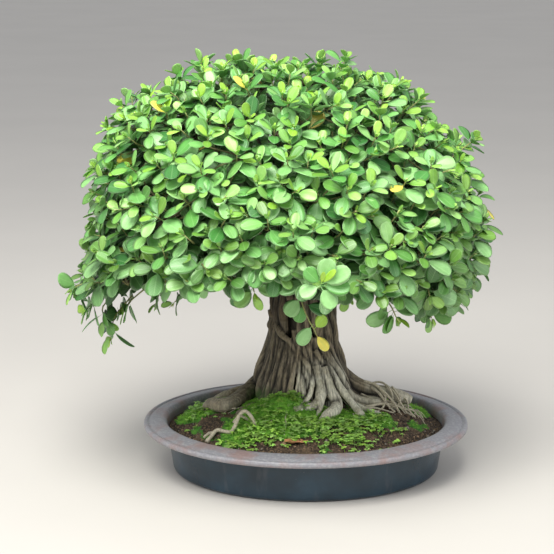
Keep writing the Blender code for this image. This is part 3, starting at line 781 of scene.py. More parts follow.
def build_seedlings(rng):
    """Clover-like seedlings: thin stems with three to five round leaflets, thickest along the front edge."""
    s, soup, placed = settings("ground"), Soup(), 0
    while placed < s.seedlings:
        x0, y0, wide, deep, _ = BEDS[rng.choice(len(BEDS), p=[bed[4] for bed in BEDS])]
        x, y = x0 + wide * rng.standard_normal() * 0.66, y0 + deep * rng.standard_normal() * 0.66
        if (x / LENGTH) ** 2 + (y / DEPTH) ** 2 > 0.90:
            continue
        placed += 1
        foot = np.array((x, y, mossiness(x, y)[1] - 0.0005))
        height = rng.uniform(0.002, 0.007)
        lean = np.array((*rng.uniform(-0.4, 0.4, 2), 1.0)) * height
        tone = np.array(s.clover) * rng.uniform(0.60, 1.20)
        tone = tone * (1, rng.uniform(0.85, 1.0), rng.uniform(0.5, 1.0))
        stem = line_through((foot, foot + lean * (0.3, 0.3, 0.5), foot + lean), 4)
        soup.add(*tube(stem, STEM_RADIUS, 4), tone * 0.8)
        leaves, scale, turn = rng.integers(3, 6), rng.uniform(0.0030, 0.0052), rng.uniform(0, TURN)
        for k in range(leaves):
            points, faces = leaflet(scale, scale * 0.88, 0.16, rng.uniform(0.05, 0.30))
            spin = Matrix.Rotation(turn + k * TURN / leaves + rng.uniform(-0.2, 0.2), 3, "Z")
            spin = spin @ Matrix.Rotation(rng.uniform(-0.1, 0.5), 3, "X")
            soup.add(points @ np.array(spin).T + foot + lean, faces, tone * rng.uniform(0.85, 1.15))
    finish = speckled_material("Soft seedling leaf", 0.5, 2.5)
    add_piece(soup.mesh("seedlings", "own"), [finish], "clover", "clover_front_left", "clover_front_right")


def build_dry_leaf():
    """The fallen leaf, dry and curled."""
    s = settings("ground")
    low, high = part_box("fallen_leaf")
    middle, length = (low + high) / 2, (high.x - low.x) * 0.98
    rows, columns = 22, 9
    n = rows * columns
    top, faces, tones = [], [], []
    for i in range(rows):
        along = i / (rows - 1)
        half = 0.0070 * max(0.05, math.sin(math.pi * along**0.85)) ** 0.75
        for j in range(columns):
            across = -1 + 2 * j / (columns - 1)
            curl = 0.0042 * across**2 * (0.6 + 0.4 * math.sin(along * 5)) + 0.0016 * (2 * along - 1) ** 2
            top.append(
                ((along - 0.5) * length, across * half, curl + 0.0007 * math.sin(along * 17 + across * 2))
            )
            tones.append(np.array(s.leaf) * (0.6 + 0.6 * abs(across) ** 0.5) * (1.3 if across == 0 else 1))
    for i in range(rows - 1):
        for a in range(i * columns, i * columns + columns - 1):
            faces.append((a, a + columns, a + columns + 1, a + 1))
            faces.append((n + a, n + a + 1, n + a + columns + 1, n + a + columns))
    edge = list(range(columns)) + [i * columns + columns - 1 for i in range(1, rows)]
    edge += [n - 1 - j for j in range(1, columns)] + [i * columns for i in range(rows - 2, 0, -1)]
    faces += [(a, b, n + b, n + a) for a, b in zip(edge, edge[1:] + edge[:1])]
    below = [(x, y, z - 0.0004) for x, y, z in top]
    spin = np.array(Matrix.Rotation(0.16, 3, "Z"))
    points = np.array(top + below) @ spin.T
    points += (middle.x, middle.y, max(mossiness(middle.x, middle.y)[1], mound(middle.x, middle.y)) + 0.0012)
    mesh = mesh_from("fallen_leaf_dry", points, faces, own=np.array(tones * 2))
    add_piece(mesh, [speckled_material("Curled dry leaf", 0.6, 3)], "dry_leaf", "fallen_leaf")


# ------------------------------------------------------------------ trunk, roots and limbs


def trunk_radius(h):
    """Overall radius of the trunk at heights above the soil."""
    s = settings("wood")
    return s.waist + s.flare * np.exp(-((np.maximum(h, 0.0) / s.flare_height) ** 2))


# Fused aerial roots on the side that faces the front: (direction in degrees, height above the soil)
# from the top down, then the radius at the top and at the foot, and how deep its middle lies in radii
STRANDS = (
    (((182, .184), (178, .150), (181, .118), (187, .090), (191, .058), (196, .028), (200, .004)),
     .0066, .0075, .5),
    (((181, .128), (180, .116), (182, .104)), .0060, .0050, -.1),
    (((196, .184), (190, .142), (205, .119), (230, .102), (250, .092), (266, .076), (279, .062),
      (286, .046)), .0054, .0036, .1),
    (((207, .184), (206, .140), (210, .100), (208, .060), (206, .030), (206, .004)), .0070, .0060, .8),
    (((224, .184), (224, .150), (226, .124), (229, .100), (226, .060), (222, .030), (222, .006)),
     .0062, .0050, .7),
    (((262, .184), (262, .150), (263, .125), (268, .098), (275, .078), (281, .064)), .0056, .0034, .3),
    (((274, .184), (275, .140), (276, .110), (281, .084), (285, .064), (287, .050)), .0048, .0036, .3),
    (((290, .184), (291, .150), (297, .120), (307, .090), (322, .060), (336, .036), (344, .012)),
     .0078, .0078, .3),
    (((305, .184), (311, .140), (321, .100), (335, .065), (347, .035), (352, .010)), .0076, .0074, .45),
    (((325, .184), (332, .140), (342, .100), (351, .060), (359, .030), (363, .006)), .0080, .0080, .4),
    (((345, .184), (350, .130), (359, .080), (365, .040), (368, .008)), .0080, .0085, .4),
    (((268, .102), (272, .086), (279, .066), (284, .052)), .0022, .0024, .0),
    (((275, .106), (279, .086), (284, .064), (286, .050)), .0020, .0024, -.1),
    (((284, .104), (284, .086), (286, .064), (288, .048)), .0022, .0026, .0),
    (((293, .100), (292, .080), (293, .060), (294, .040)), .0030, .0050, .1),
    (((292, .084), (305, .057), (320, .038), (334, .016)), .0040, .0060, -.1),
    (((300, .090), (317, .063), (336, .042), (350, .014)), .0036, .0052, -.1),
    (((312, .120), (322, .085), (338, .055), (350, .030)), .0034, .0040, -.2),
    (((240, .184), (243, .165), (246, .150)), .0075, .0055, .7),
    (((243, .098), (240, .070), (236, .040), (234, .010)), .0044, .0052, .4),
    (((254, .110), (262, .080), (268, .050), (272, .012)), .0040, .0060, .6),
    (((270, .096), (274, .064), (278, .034), (280, .008)), .0036, .0056, .7),
)

# Exposed roots: points (x, y, height of the middle above the soil), radius at the trunk and at the tip
ROOTS = (
    (((-.040, .044, .050), (-.060, .048, .024), (-.080, .028, .013), (-.098, -.004, .010),
      (-.112, -.012, .009), (-.126, .002, .008), (-.138, .010, -.006)), .0138, .0072),
    (((-.036, .056, .044), (-.064, .062, .014), (-.094, .054, .007), (-.120, .040, .005),
      (-.142, .036, -.005)), .0090, .0045),
    (((.036, .042, .048), (.060, .040, .026), (.084, .036, .016), (.108, .035, .014), (.130, .036, .014),
      (.142, .036, .014)), .0128, .0062),
    (((.036, .022, .042), (.060, .016, .015), (.084, .012, .007), (.106, .014, .004), (.122, .012, -.005)),
     .0074, .0038),
    (((.014, -.008, .062), (.020, -.018, .036), (.016, -.029, .017), (-.002, -.035, .012),
      (-.018, -.039, .010), (-.036, -.046, -.004)), .0084, .0066),
    (((.020, -.008, .060), (.031, -.016, .034), (.041, -.020, .016), (.038, -.036, .011),
      (.028, -.048, .008), (.016, -.061, -.005)), .0084, .0066),
    (((.024, -.002, .068), (.041, -.006, .038), (.055, -.010, .020), (.065, -.020, .010),
      (.073, -.034, .004), (.079, -.047, -.007)), .0060, .0042),
    (((.006, -.012, .062), (-.002, -.022, .033), (-.016, -.029, .018), (-.031, -.035, .009),
      (-.046, -.040, -.004)), .0036, .0028),
    (((.010, -.014, .056), (.006, -.026, .030), (-.006, -.034, .016), (-.016, -.042, .006),
      (-.026, -.050, -.004)), .0034, .0026),
    (((.016, -.014, .050), (.020, -.028, .020), (.016, -.042, .008), (.008, -.052, -.004)), .0040, .0028),
    (((-.028, -.006, .030), (-.042, -.020, .011), (-.058, -.028, .004), (-.074, -.034, -.006)),
     .0058, .0034),
    (((-.042, .008, .030), (-.060, -.002, .011), (-.080, -.012, .004), (-.094, -.020, -.006)),
     .0062, .0036),
    (((.038, .008, .036), (.057, -.004, .013), (.076, -.013, .006), (.094, -.021, .001),
      (.106, -.028, -.007)), .0056, .0034),
    (((.046, .026, .030), (.070, .024, .010), (.092, .024, .008), (.112, .020, .001), (.122, .018, -.006)),
     .0048, .0030),
    (((.024, .062, .040), (.046, .079, .014), (.066, .091, .006), (.080, .099, -.005)), .0105, .0048),
    (((-.004, .068, .040), (-.006, .087, .012), (-.012, .103, .004), (-.018, .114, -.006)), .0095, .0045),
    (((-.032, .060, .040), (-.056, .074, .012), (-.080, .082, .005), (-.100, .088, -.006)), .0105, .0048),
    (((.036, .048, .036), (.062, .057, .012), (.088, .066, .005), (.106, .070, -.005)), .0075, .0040),
    (((.012, .068, .036), (.022, .086, .012), (.032, .102, .003), (.038, .112, -.006)), .0060, .0035),
    (((-.020, .066, .034), (-.032, .086, .010), (-.044, .100, .002), (-.050, .110, -.006)), .0062, .0035),
)


FAN_STRANDS, BACK_STRANDS = 17, 30
ROOT_SAMPLES = 34


def on_soil(points, samples):
    """A line through points given as x, y and height above the mound."""
    return line_through([(x, y, float(mound(x, y)) + h) for x, y, h in points], samples)


def add_strand(soup, points, thick, thin, deep, rng, sides=10):
    """An aerial root fused to the trunk's surface."""
    samples = 8 * len(points)
    dense = line_through([(turn, h, 0.0) for turn, h in points], samples)
    phase, line = rng.uniform(0, TURN), []
    radii = np.linspace(thick, thin, samples)
    for k, (turn, h, _) in enumerate(dense):
        sway = 1.4 * math.sin(k * 0.35 + phase)
        out = trunk_radius(h) - radii[k] * (deep + 0.25 * math.sin(k * 0.27 + phase))
        line.append(polar(turn + sway, out, SOIL_HIGH.z + h))
    swell = 1 + 0.12 * np.sin(np.arange(samples) * 0.45 + phase)
    soup.add(*tube(line, radii * swell, sides), 0)


def pad_hubs():
    """The middle of each modelled foliage pad, and the point under it where its branch ends."""
    rings = (("upper", 6), ("middle", 8), ("hem", 8))
    names = ["foliage_top"] + [f"foliage_{ring}_{i}" for ring, n in rings for i in range(1, n + 1)]
    hubs, core = {}, np.array((-0.02, 0.0, 0.30))
    for name in names:
        middle = np.array(sum(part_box(name), Vector()) / 2)
        hubs[name] = (middle, middle + unit(core - middle) * 0.030)
    return hubs


# Radii of the crown's wood at its start and its end
LEADER, UPPER_LIMB, LIMB, BRANCH = (0.021, 0.0125), (0.0085, 0.0028), (0.0150, 0.0062), (0.0056, 0.0026)


def add_limbs(soup, hubs):
    """The leader and eight forked limbs, from the trunk's top to the pads."""
    s = settings("wood")
    rng = np.random.default_rng(s.limb_seed)
    top = np.array((s.x, s.y, TRUNK_TOP))
    fork = top + (-0.012, -0.010, 0.075)

    def limb(points, thick, thin, samples=14):
        line = line_through(points, samples)
        line[1:-1] += rng.uniform(-0.0012, 0.0012, (samples - 2, 3))
        soup.add(*tube(line, np.linspace(thick, thin, samples), 12), 0)

    limb([top - (0, 0, 0.05), top + (0.002, 0.0, 0.02), fork], *LEADER)
    for name in ["foliage_top"] + [f"foliage_upper_{i}" for i in range(1, 7)]:
        end = hubs[name][1]
        bend = (fork + end) / 2 + rng.uniform(-0.014, 0.014, 3)
        limb([fork - (0, 0, 0.012), fork + (end - fork) * 0.2 + (0, 0, 0.006), bend, end], *UPPER_LIMB)
    for i in range(8):
        pair = [hubs[f"foliage_{ring}_{i + 1}"][1] for ring in ("middle", "hem")]
        middle = sum(pair) / 2
        turn = math.atan2(middle[1] - s.y, middle[0] - s.x)
        out = np.array((math.cos(turn), math.sin(turn), 0.0))
        rise = top + out * 0.030 + (0, 0, 0.006)
        split = top * 0.45 + middle * 0.55 + (*rng.uniform(-0.012, 0.012, 2), 0)
        split[2] = max(split[2], TRUNK_TOP + 0.022) + rng.uniform(-0.006, 0.010)
        foot = top + out * 0.020 - (0, 0, 0.035)
        limb([foot, rise, (rise + split) / 2 + (0, 0, 0.006), split], *LIMB)
        for end in pair:
            bend = (split + end) / 2 + rng.uniform(-0.010, 0.010, 3)
            start = split + (rise - split) * 0.10
            limb([start, split + (end - split) * 0.15, bend, end], *BRANCH, samples=10)


def build_trunk(hubs, rng):
    """Core, fused strands, exposed roots and limbs, merged into one skin."""
    s, soup = settings("wood"), Soup()
    heights = np.linspace(-0.03, TRUNK_TOP - SOIL_HIGH.z + 0.004, 26)
    core = [(s.x + 0.003 * math.sin(h * 14), s.y, SOIL_HIGH.z + h) for h in heights]
    thin = [max(0.020, trunk_radius(h) - blend(0.0125, 0.0095, min(1, max(h, 0) / 0.12))) for h in heights]
    soup.add(*tube(core, [0.028] + thin[1:], 28), 0)
    for points, thick, thin_end, deep in STRANDS:
        add_strand(soup, points, thick, thin_end, deep, rng)
    for k in range(FAN_STRANDS):  # close, nearly parallel strands that fan out over the left of the front
        part = k / (FAN_STRANDS - 1)
        top = (blend(193, 268, part) + rng.uniform(-3, 3), rng.uniform(0.082, 0.122) - 0.012 * part)
        foot = (blend(186, 258, part) + rng.uniform(-3, 3), rng.uniform(0.002, 0.014))
        middle = (blend(top[0], foot[0], 0.5) + rng.uniform(-4, 4), (top[1] + foot[1]) / 2)
        thick = rng.uniform(0.0020, 0.0036)
        add_strand(soup, (top, middle, foot), thick * 0.8, thick * 1.3, rng.uniform(-0.5, 0.5), rng, 8)
    for k in range(BACK_STRANDS):  # round the back
        turn = -2 + 184 * (k + rng.uniform(-0.3, 0.3)) / BACK_STRANDS
        top = (turn + rng.uniform(-22, 22), rng.uniform(0.10, 0.184))
        points = (top, (turn + rng.uniform(-8, 8), 0.06), (turn, 0.004))
        thick = rng.uniform(0.0034, 0.0080)
        add_strand(soup, points, thick, thick * rng.uniform(0.9, 1.3), rng.uniform(0.0, 0.7), rng)
    for points, thick, thin_end in ROOTS:
        line = on_soil(points, ROOT_SAMPLES)
        swell = 1 + 0.08 * np.sin(np.linspace(0, 11, ROOT_SAMPLES) + thick * 900)
        soup.add(*tube(line, np.linspace(thick, thin_end, ROOT_SAMPLES) * swell, 12), 0)
        turn = math.degrees(math.atan2(line[0][1] - s.y, line[0][0] - s.x))
        shoulder = polar(turn, trunk_radius(0.09) - thick * 0.9, SOIL_HIGH.z + 0.09)
        joint = line_through([shoulder, line[0], line[6]], 12)
        soup.add(*tube(joint, np.linspace(thick * 0.5, thick * 0.92, 12), 12), 0)
    add_limbs(soup, hubs)
    obj = bpy.data.objects.new("trunk_raw", soup.mesh("trunk_raw", "raw"))
    bpy.context.scene.collection.objects.link(obj)
    merge = obj.modifiers.new("merge", "REMESH")
    merge.mode, merge.voxel_size, merge.use_smooth_shade = "VOXEL", s.voxel, True
    relax = obj.modifiers.new("relax", "SMOOTH")
    relax.factor, relax.iterations = 0.5, 2
    apply_modifiers(obj)
    mesh = obj.data
    bpy.data.objects.remove(obj, do_unlink=True)
    mesh.name = "trunk_roots_and_limbs"
    shade_trunk(mesh)
    nodes = ["trunk_and_roots", "leader"] + [f"limb_{i}" for i in range(1, 9)]
    add_piece(mesh, [bark_material(s)], "bark", *nodes)


def read_points(mesh, what):
    """The mesh's points or normals as an array."""
    values = np.empty(len(mesh.vertices) * 3)
    mesh.vertices.foreach_get(what, values)
    return values.reshape(-1, 3)


def averaged(mesh, points, rounds):
    """Points after each is moved to the middle of its neighbours some times."""
    ends = np.empty(len(mesh.edges) * 2, np.int32)
    mesh.edges.foreach_get("vertices", ends)
    a, b = ends[::2], ends[1::2]
    near = np.bincount(np.concatenate([a, b]), minlength=len(points))[:, None]
    for _ in range(rounds):
        n = len(points)
        total = [np.bincount(a, points[b, k], n) + np.bincount(b, points[a, k], n) for k in range(3)]
        points = np.stack(total, 1) / np.maximum(near, 1)
    return points


FIBRE_SIZE, FIBRE_HEIGHT = 0.0036, 0.00065
# Rounds of averaging round a point, and how far above that average it counts as fully raised
FINE_RELIEF, WIDE_RELIEF = (5, 0.00035), (60, 0.0022)


def shade_trunk(mesh):
    """Adds fibres to the surface, and writes painted light and shade from where it is raised or hollow, and
    where it is weathered grey and green.
    """
    s = settings("wood")
    co, normals = read_points(mesh, "co"), read_points(mesh, "normal")
    off = co[:, :2] - (s.x, s.y)
    distance, turn = np.hypot(off[:, 0], off[:, 1]), np.arctan2(off[:, 1], off[:, 0])
    h = co[:, 2] - SOIL_HIGH.z

    def raised(rounds, full):
        return np.sum((co - averaged(mesh, co, rounds)) * normals, axis=1) / full

    round_it = np.stack([np.cos(turn) * 0.05, np.sin(turn) * 0.05, h * 0.14], axis=1)
    low = (h < TRUNK_TOP - SOIL_HIGH.z)[:, None]
    where = np.where(low, round_it, co * (1, 1, 0.3))
    fibre = np.array([noise.fractal(Vector(p) / FIBRE_SIZE, 0.9, 2.0, 3) for p in where])
    fibre = 0.6 - np.abs(fibre) * 1.6
    co = co + normals * (fibre * FIBRE_HEIGHT)[:, None]
    mesh.vertices.foreach_set("co", co.ravel())
    mesh.update()
    # Painted light and shade: raised wood gets painted highlights; hollows, the left of the front and the
    # wood under the crown get painted shade
    fine, wide = np.clip(raised(*FINE_RELIEF), -1.5, 1.5), np.clip(raised(*WIDE_RELIEF), -1.2, 0.8)
    ridge = np.clip(0.52 + 0.20 * fine + 0.42 * wide, 0, 1)
    # Painted shade inside the hollow between the strands
    inside = smoothstep((trunk_radius(h) - 0.0045 - distance) / 0.008) * (h < 0.17) * (h > 0.012)
    ridge = ridge * (1 - 0.55 * inside)
    # Painted shade on the left of the front and in the crown's shadow
    left = smoothstep((turn - math.radians(-135)) / math.radians(60)) * (turn < 0) + (turn > 0) * 1.0
    ridge = ridge * (1 - 0.26 * smoothstep((h - 0.07) / 0.08)) * blend(0.80, 1.0, left)
    # Bare grey wood: the foot's right front, long roots at the right, the others a little, a trace higher up
    facing = np.clip(np.cos(turn - math.radians(303)), 0, 1)
    grey = smoothstep((facing - 0.55) / 0.35) * smoothstep((0.094 - h) / 0.05)
    grey = np.maximum(grey, 0.8 * smoothstep((distance - 0.070) / 0.03) * (off[:, 0] > 0))
    grey = np.maximum(grey, 0.25 + 0.2 * smoothstep((distance - 0.08) / 0.03))
    grey = np.where(h > 0.12, 0.12 + 0.2 * np.clip(np.cos(turn - math.radians(330)), 0, 1), grey)
    # Green film: low on the trunk, higher at the left of the front, and thin on grey or distant roots
    left_foot = np.clip(np.cos(turn - math.radians(226)), 0, 1) ** 2
    green = smoothstep((0.036 + 0.018 * left_foot - h) / 0.040) * 0.85
    green = green * (1 - 0.75 * smoothstep((grey - 0.4) / 0.4))
    green = green * (1 - 0.65 * smoothstep((distance - 0.070) / 0.02))
    for label, values in (("ridge", ridge), ("grey", grey), ("green", green)):
        mesh.attributes.new(label, "FLOAT", "POINT").data.foreach_set("value", values.astype(np.float32))


# Loose roots: points (x, y, height above the mound), and the radius
ARCH = (
    (((-.127, -.083, .002), (-.121, -.076, .004), (-.114, -.071, .006), (-.104, -.075, .004),
      (-.095, -.079, .004), (-.089, -.077, .012), (-.085, -.073, .019), (-.078, -.069, .021),
      (-.070, -.071, .014), (-.064, -.075, .003), (-.061, -.077, -.004)), .0023),
    (((-.117, -.073, .005), (-.124, -.069, .004), (-.131, -.070, .001)), .0018),
    (((-.093, -.066, .006), (-.086, -.063, .012), (-.079, -.064, .010), (-.070, -.060, .002)), .0017),
)
LATTICE = (
    (((.070, .004, .006), (.084, -.004, .006), (.100, .003, .007), (.122, .006, .005), (.140, .002, .000)),
     .0021),
    (((.088, .028, .022), (.098, .018, .017), (.108, .002, .007), (.118, -.010, .001)), .0018),
    (((.098, .028, .022), (.106, .014, .014), (.103, -.002, .005), (.094, -.012, .001)), .0016),
    (((.078, .036, .028), (.092, .030, .026), (.104, .020, .019), (.116, .006, .010), (.124, -.008, .001)),
     .0019),
    (((.082, .040, .022), (.100, .040, .026), (.112, .026, .022), (.116, .014, .012), (.111, .000, .001)),
     .0015),
    (((.108, .036, .024), (.118, .024, .019), (.126, .012, .010), (.134, .000, .001)), .0014),
    (((.060, -.006, .004), (.076, -.012, .007), (.096, -.010, .005), (.116, -.014, .001)), .0014),
    (((.116, .034, .024), (.126, .020, .013), (.122, .008, .005), (.112, .002, .001)), .0012),
    (((.128, .036, .018), (.136, .024, .012), (.138, .010, .004), (.146, .004, .000)), .0013),
    (((.074, .024, .014), (.090, .016, .010), (.110, .014, .008), (.130, .016, .003)), .0014),
)


def build_loose_roots(rng):
    """Pale thin roots: the arch at the front left, the lattice at the right, and fine ones in front."""
    s = settings("wood")
    finish = fibre_material("Sun-dried thin root", s.pale, times(s.pale, 0.5), 1.8, 0.7)
    fine = [(((-.024, -.046, .010), (-.026, -.060, .009), (-.025, -.078, .006), (-.027, -.096, .001)), .0010)]
    for _ in range(34):
        start, turn = rng.uniform(0.055, 0.105), rng.uniform(195, 350)
        x, y, _ = polar(turn, start, 0)
        bend, reach = math.radians(turn) + rng.uniform(-0.6, 0.6), rng.uniform(0.010, 0.026)
        step = np.array((math.cos(bend), math.sin(bend), 0.0)) * reach
        thick = rng.uniform(0.0005, 0.0010)
        fine.append((((x, y, 0.006), (x, y, 0.005) + step * 0.5, (x, y, 0.0) + step), thick))
    hair = []
    for _ in range(26):
        x, y = rng.uniform(0.112, 0.150), rng.uniform(0, 0.036)
        turn, reach = rng.uniform(-0.9, 0.5), rng.uniform(0.008, 0.020)
        step = np.array((math.cos(turn), math.sin(turn), 0.0)) * reach
        hair.append((((x, y, 0.005), (x, y, 0.006) + step * 0.5, (x, y, 0.0) + step), 0.0006))
    groups = (
        ("arched_root_dry", ARCH, ["arched_root"]),
        ("lattice_roots_dry", (*LATTICE, *hair), ["lattice_root"]),
        ("fine_roots", fine, []),
    )
    for name, roots, nodes in groups:
        soup = Soup()
        arched = name == "arched_root_dry"
        for points, thick in roots:
            samples = max(10, 6 * len(points))
            radii = np.linspace(thick * 1.15, thick * (1.0 if arched else 0.6), samples)
            radii = radii * (1 + 0.08 * np.sin(np.arange(samples) * 0.9))
            age = 0.5 if arched else rng.uniform(0, 0.3)
            soup.add(*tube(on_soil(points, samples), radii, 8), age)
        add_piece(soup.mesh(name, "age"), [finish], "pale_root", *nodes)


# ------------------------------------------------------------------ crown


CENTRE = np.array((-0.034, 0.0, 0.292))
RISES = np.radians((-30, -15, 0, 15, 30, 45, 60, 75, 90))
# Reach of the leaves' tips at each of those rises, towards the right, the left and the front or back
REACH_RIGHT = (0.205, 0.245, 0.274, 0.284, 0.287, 0.281, 0.273, 0.265, 0.264)
REACH_LEFT = (0.262, 0.278, 0.268, 0.264, 0.277, 0.292, 0.285, 0.270, 0.264)
REACH_FRONT = (0.212, 0.238, 0.250, 0.254, 0.256, 0.257, 0.259, 0.261, 0.263)
# Height of the hem from the widest level, every 45 degrees from the right, turning to the back
HEM = (-0.072, -0.062, -0.050, -0.058, -0.052, 0.010, 0.022, -0.014)
TIP_ROOM = 0.021  # from a rosette's middle to its leaves' tips
UP_LIGHT = np.array((-0.10, -0.22, 1.0))


def dome(turn, rise):
    """Where rosettes sit on the dome, in a direction in radians."""
    sides = np.interp(rise, RISES, REACH_RIGHT if math.cos(turn) > 0 else REACH_LEFT)
    reach = blend(np.interp(rise, RISES, REACH_FRONT), sides, math.cos(turn) ** 2) - TIP_ROOM
    direction = np.array((math.cos(rise) * math.cos(turn), math.cos(rise) * math.sin(turn), math.sin(rise)))
    lump = bumps(*(direction * 0.26 + (0.19, 0.03, 0.5)), 0.062, 2)
    return CENTRE + direction * (reach + settings("crown").lumps * lump)


def dome_normal(turn, rise):
    """The dome's outward direction there."""
    step = 0.03
    a = dome(turn + step, rise) - dome(turn - step, rise)
    b = dome(turn, min(rise + step, 1.56)) - dome(turn, rise - step)
    return unit(np.cross(a, b)) if rise < 1.5 else np.array((0.0, 0.0, 1.0))


def hem_height(turn):
    """Height of the dome's lower edge in a direction."""
    at = (turn / TURN % 1.0) * 8
    i = int(at) % 8
    return CENTRE[2] + blend(HEM[i], HEM[(i + 1) % 8], float(smoothstep(at - int(at))))


SPREAD_TRIES = 12000
# Layers of rosettes: spacing, depth under the dome, leaf size, youth of the leaves, and painted shade, darker
# deeper in
LAYERS = ((0.0242, 0.0, 1.0, 0.9, 1.0), (0.0275, 0.028, 1.04, 0.2, 0.60), (0.034, 0.052, 1.1, 0.0, 0.42))


def spread(rng, spacing, depth):
    """Evenly spread spots at a depth under the dome, with outward directions."""
    spots, outs = np.empty((0, 3)), []
    for _ in range(SPREAD_TRIES):
        turn, rise = rng.uniform(0, TURN), math.asin(rng.uniform(-0.5, 1.0))
        point = dome(turn, rise)
        if point[2] < hem_height(turn) + depth * 0.2:
            continue
        spot = point - unit(point - CENTRE) * depth
        if len(spots) and np.min(np.sum((spots - spot) ** 2, axis=1)) < spacing**2:
            continue
        spots = np.vstack([spots, spot])
        outs.append(dome_normal(turn, rise))
    return spots, outs


# A leaf's grid: place along it, negative on the stalk, with the half width there, and places across
ALONG = np.array([-0.26, -0.03, 0.03, 0.13, 0.28, 0.46, 0.64, 0.81, 0.94, 1.0])
HALF_WIDTH = np.array([0.040, 0.045, 0.27, 0.58, 0.83, 0.98, 1.00, 0.86, 0.55, 0.16])
ACROSS = np.array([-1.0, -0.55, 0.0, 0.55, 1.0])
ROWS, COLUMNS = len(ALONG), len(ACROSS)
TOP = np.arange(ROWS * COLUMNS).reshape(ROWS, COLUMNS)
UNDER = TOP.copy()  # the underside shares the outline's points with the upper side
UNDER[1:-1, 1:-1] = ROWS * COLUMNS + np.arange((ROWS - 2) * (COLUMNS - 2)).reshape(ROWS - 2, COLUMNS - 2)
UPPER_FACES = np.stack([TOP[:-1, :-1], TOP[:-1, 1:], TOP[1:, 1:], TOP[1:, :-1]], -1).reshape(-1, 4)
UNDER_FACES = np.stack([UNDER[:-1, :-1], UNDER[1:, :-1], UNDER[1:, 1:], UNDER[:-1, 1:]], -1).reshape(-1, 4)
POINTS = int(UNDER.max()) + 1


class Leaves:
    """Gathers leaves, each with a place, a frame, a size, a shape and a colour."""

    def __init__(self):
        self.rows = []

    def add(self, base, along, up, length, width, tone, cup=0.2, bend=0.1, twist=0.0):
        along = unit(along)
        up = unit(up - along * (up @ along))
        self.rows.append((*base, *along, *up, length, width, cup, bend, twist, *tone))

    def mesh(self, name):
        """One mesh of closed blades, with a layout of each blade and one for baking."""
        data = np.array(self.rows)
        n = len(data)
        along, up = data[:, None, 3:6], data[:, None, 6:9]
        length, width, cup, bend, twist = (data[:, k, None, None] for k in range(9, 14))
        blade = np.clip(ALONG, 0, 1)[None, :, None]
        x = ACROSS[None, None] * HALF_WIDTH[None, :, None] * width / 2
        y = (ALONG[None, :, None] - ALONG[0]) * length + 0 * x
        z = np.abs(x) * cup - bend * blade**2 * length + twist * blade * x
        shape = np.stack([x, y, z], -1)
        thick = (0.00022 + 0.0002 * (1 - np.abs(ACROSS)))[None, None, 1:-1, None]
        below = shape[:, 1:-1, 1:-1] - thick * (0, 0, 1)
        shape = np.concatenate([shape.reshape(n, -1, 3), below.reshape(n, -1, 3)], 1)
        points = data[:, None, 0:3] + shape[..., 0:1] * np.cross(along, up)
        points = points + shape[..., 1:2] * along + shape[..., 2:3] * up
        faces = np.concatenate([UPPER_FACES, UNDER_FACES])
        all_faces = faces[None] + (np.arange(n) * POINTS)[:, None, None]
        tones = np.repeat(data[:, 14:17], POINTS, axis=0)
        mesh = mesh_from(name, points.reshape(-1, 3), all_faces.reshape(-1, 4), leaf_colour=tones)
        side = np.repeat([0, 1], len(UPPER_FACES))
        mesh.polygons.foreach_set("material_index", np.tile(side, n))
        spots = np.empty((POINTS, 2))
        flat = np.stack(np.meshgrid((ACROSS + 1) / 2, (ALONG - ALONG[0]) / (1 - ALONG[0])), -1)
        for grid in (TOP, UNDER):
            spots[grid.ravel()] = flat.reshape(-1, 2)
        cell = spots[faces]
        mesh.uv_layers.new(name="Blade").data.foreach_set("uv", np.tile(cell.ravel(), n).astype(np.float32))
        cells = math.ceil(math.sqrt(2 * n))  # each side of each leaf has its own cell of the bake
        number = np.arange(2 * n).reshape(n, 2)[:, side]
        corner = np.stack([number % cells, number // cells], -1)[:, :, None]
        atlas = (corner + 0.10 + 0.80 * cell[None]) / cells
        mesh.uv_layers.new(name="OFBake").data.foreach_set("uv", atlas.ravel().astype(np.float32))
        return mesh


GOLDEN_ANGLE = math.radians(137.5)  # between one leaf on a shoot and the next
YELLOW_SHARE = 0.006
UPRIGHT_FROM, UPRIGHT_OVER = 0.40, 0.12  # heights at which the shoots' leaves turn upright
YOUNG_LEAVES = 3
LEAFY_SHOOT = 0.011  # length of shoot that the leaves stand on
BUD_LENGTH, BUD_WIDTH = 0.0062, 0.0026


def leaf_tone(rng, young, youth, shade):
    """A leaf's colour: mature, deep or with a pale bloom and painted sheen, young at a shoot's tip, rarely
    yellow, times the painted shade of its place.
    """
    s = settings("crown")
    tones = (s.deep, s.mature, s.light, s.young, s.yellow)
    deep, mature, light, fresh, yellow = (np.array(c[:]) for c in tones)
    pick = rng.random()
    # The pale tone is partly a painted sheen
    if pick < 0.62:
        tone = blend(mature, light, rng.uniform(0.0, 1.0))
    else:
        tone = blend(mature, deep, rng.uniform(0.2, 1.0))
    tone = blend(tone, fresh, min(1.0, youth * young * rng.uniform(0.5, 1.2)))
    if rng.random() < YELLOW_SHARE:
        tone = yellow
    # shade is painted shade for where the leaf sits in the crown
    return tone * rng.uniform(0.86, 1.10) * shade


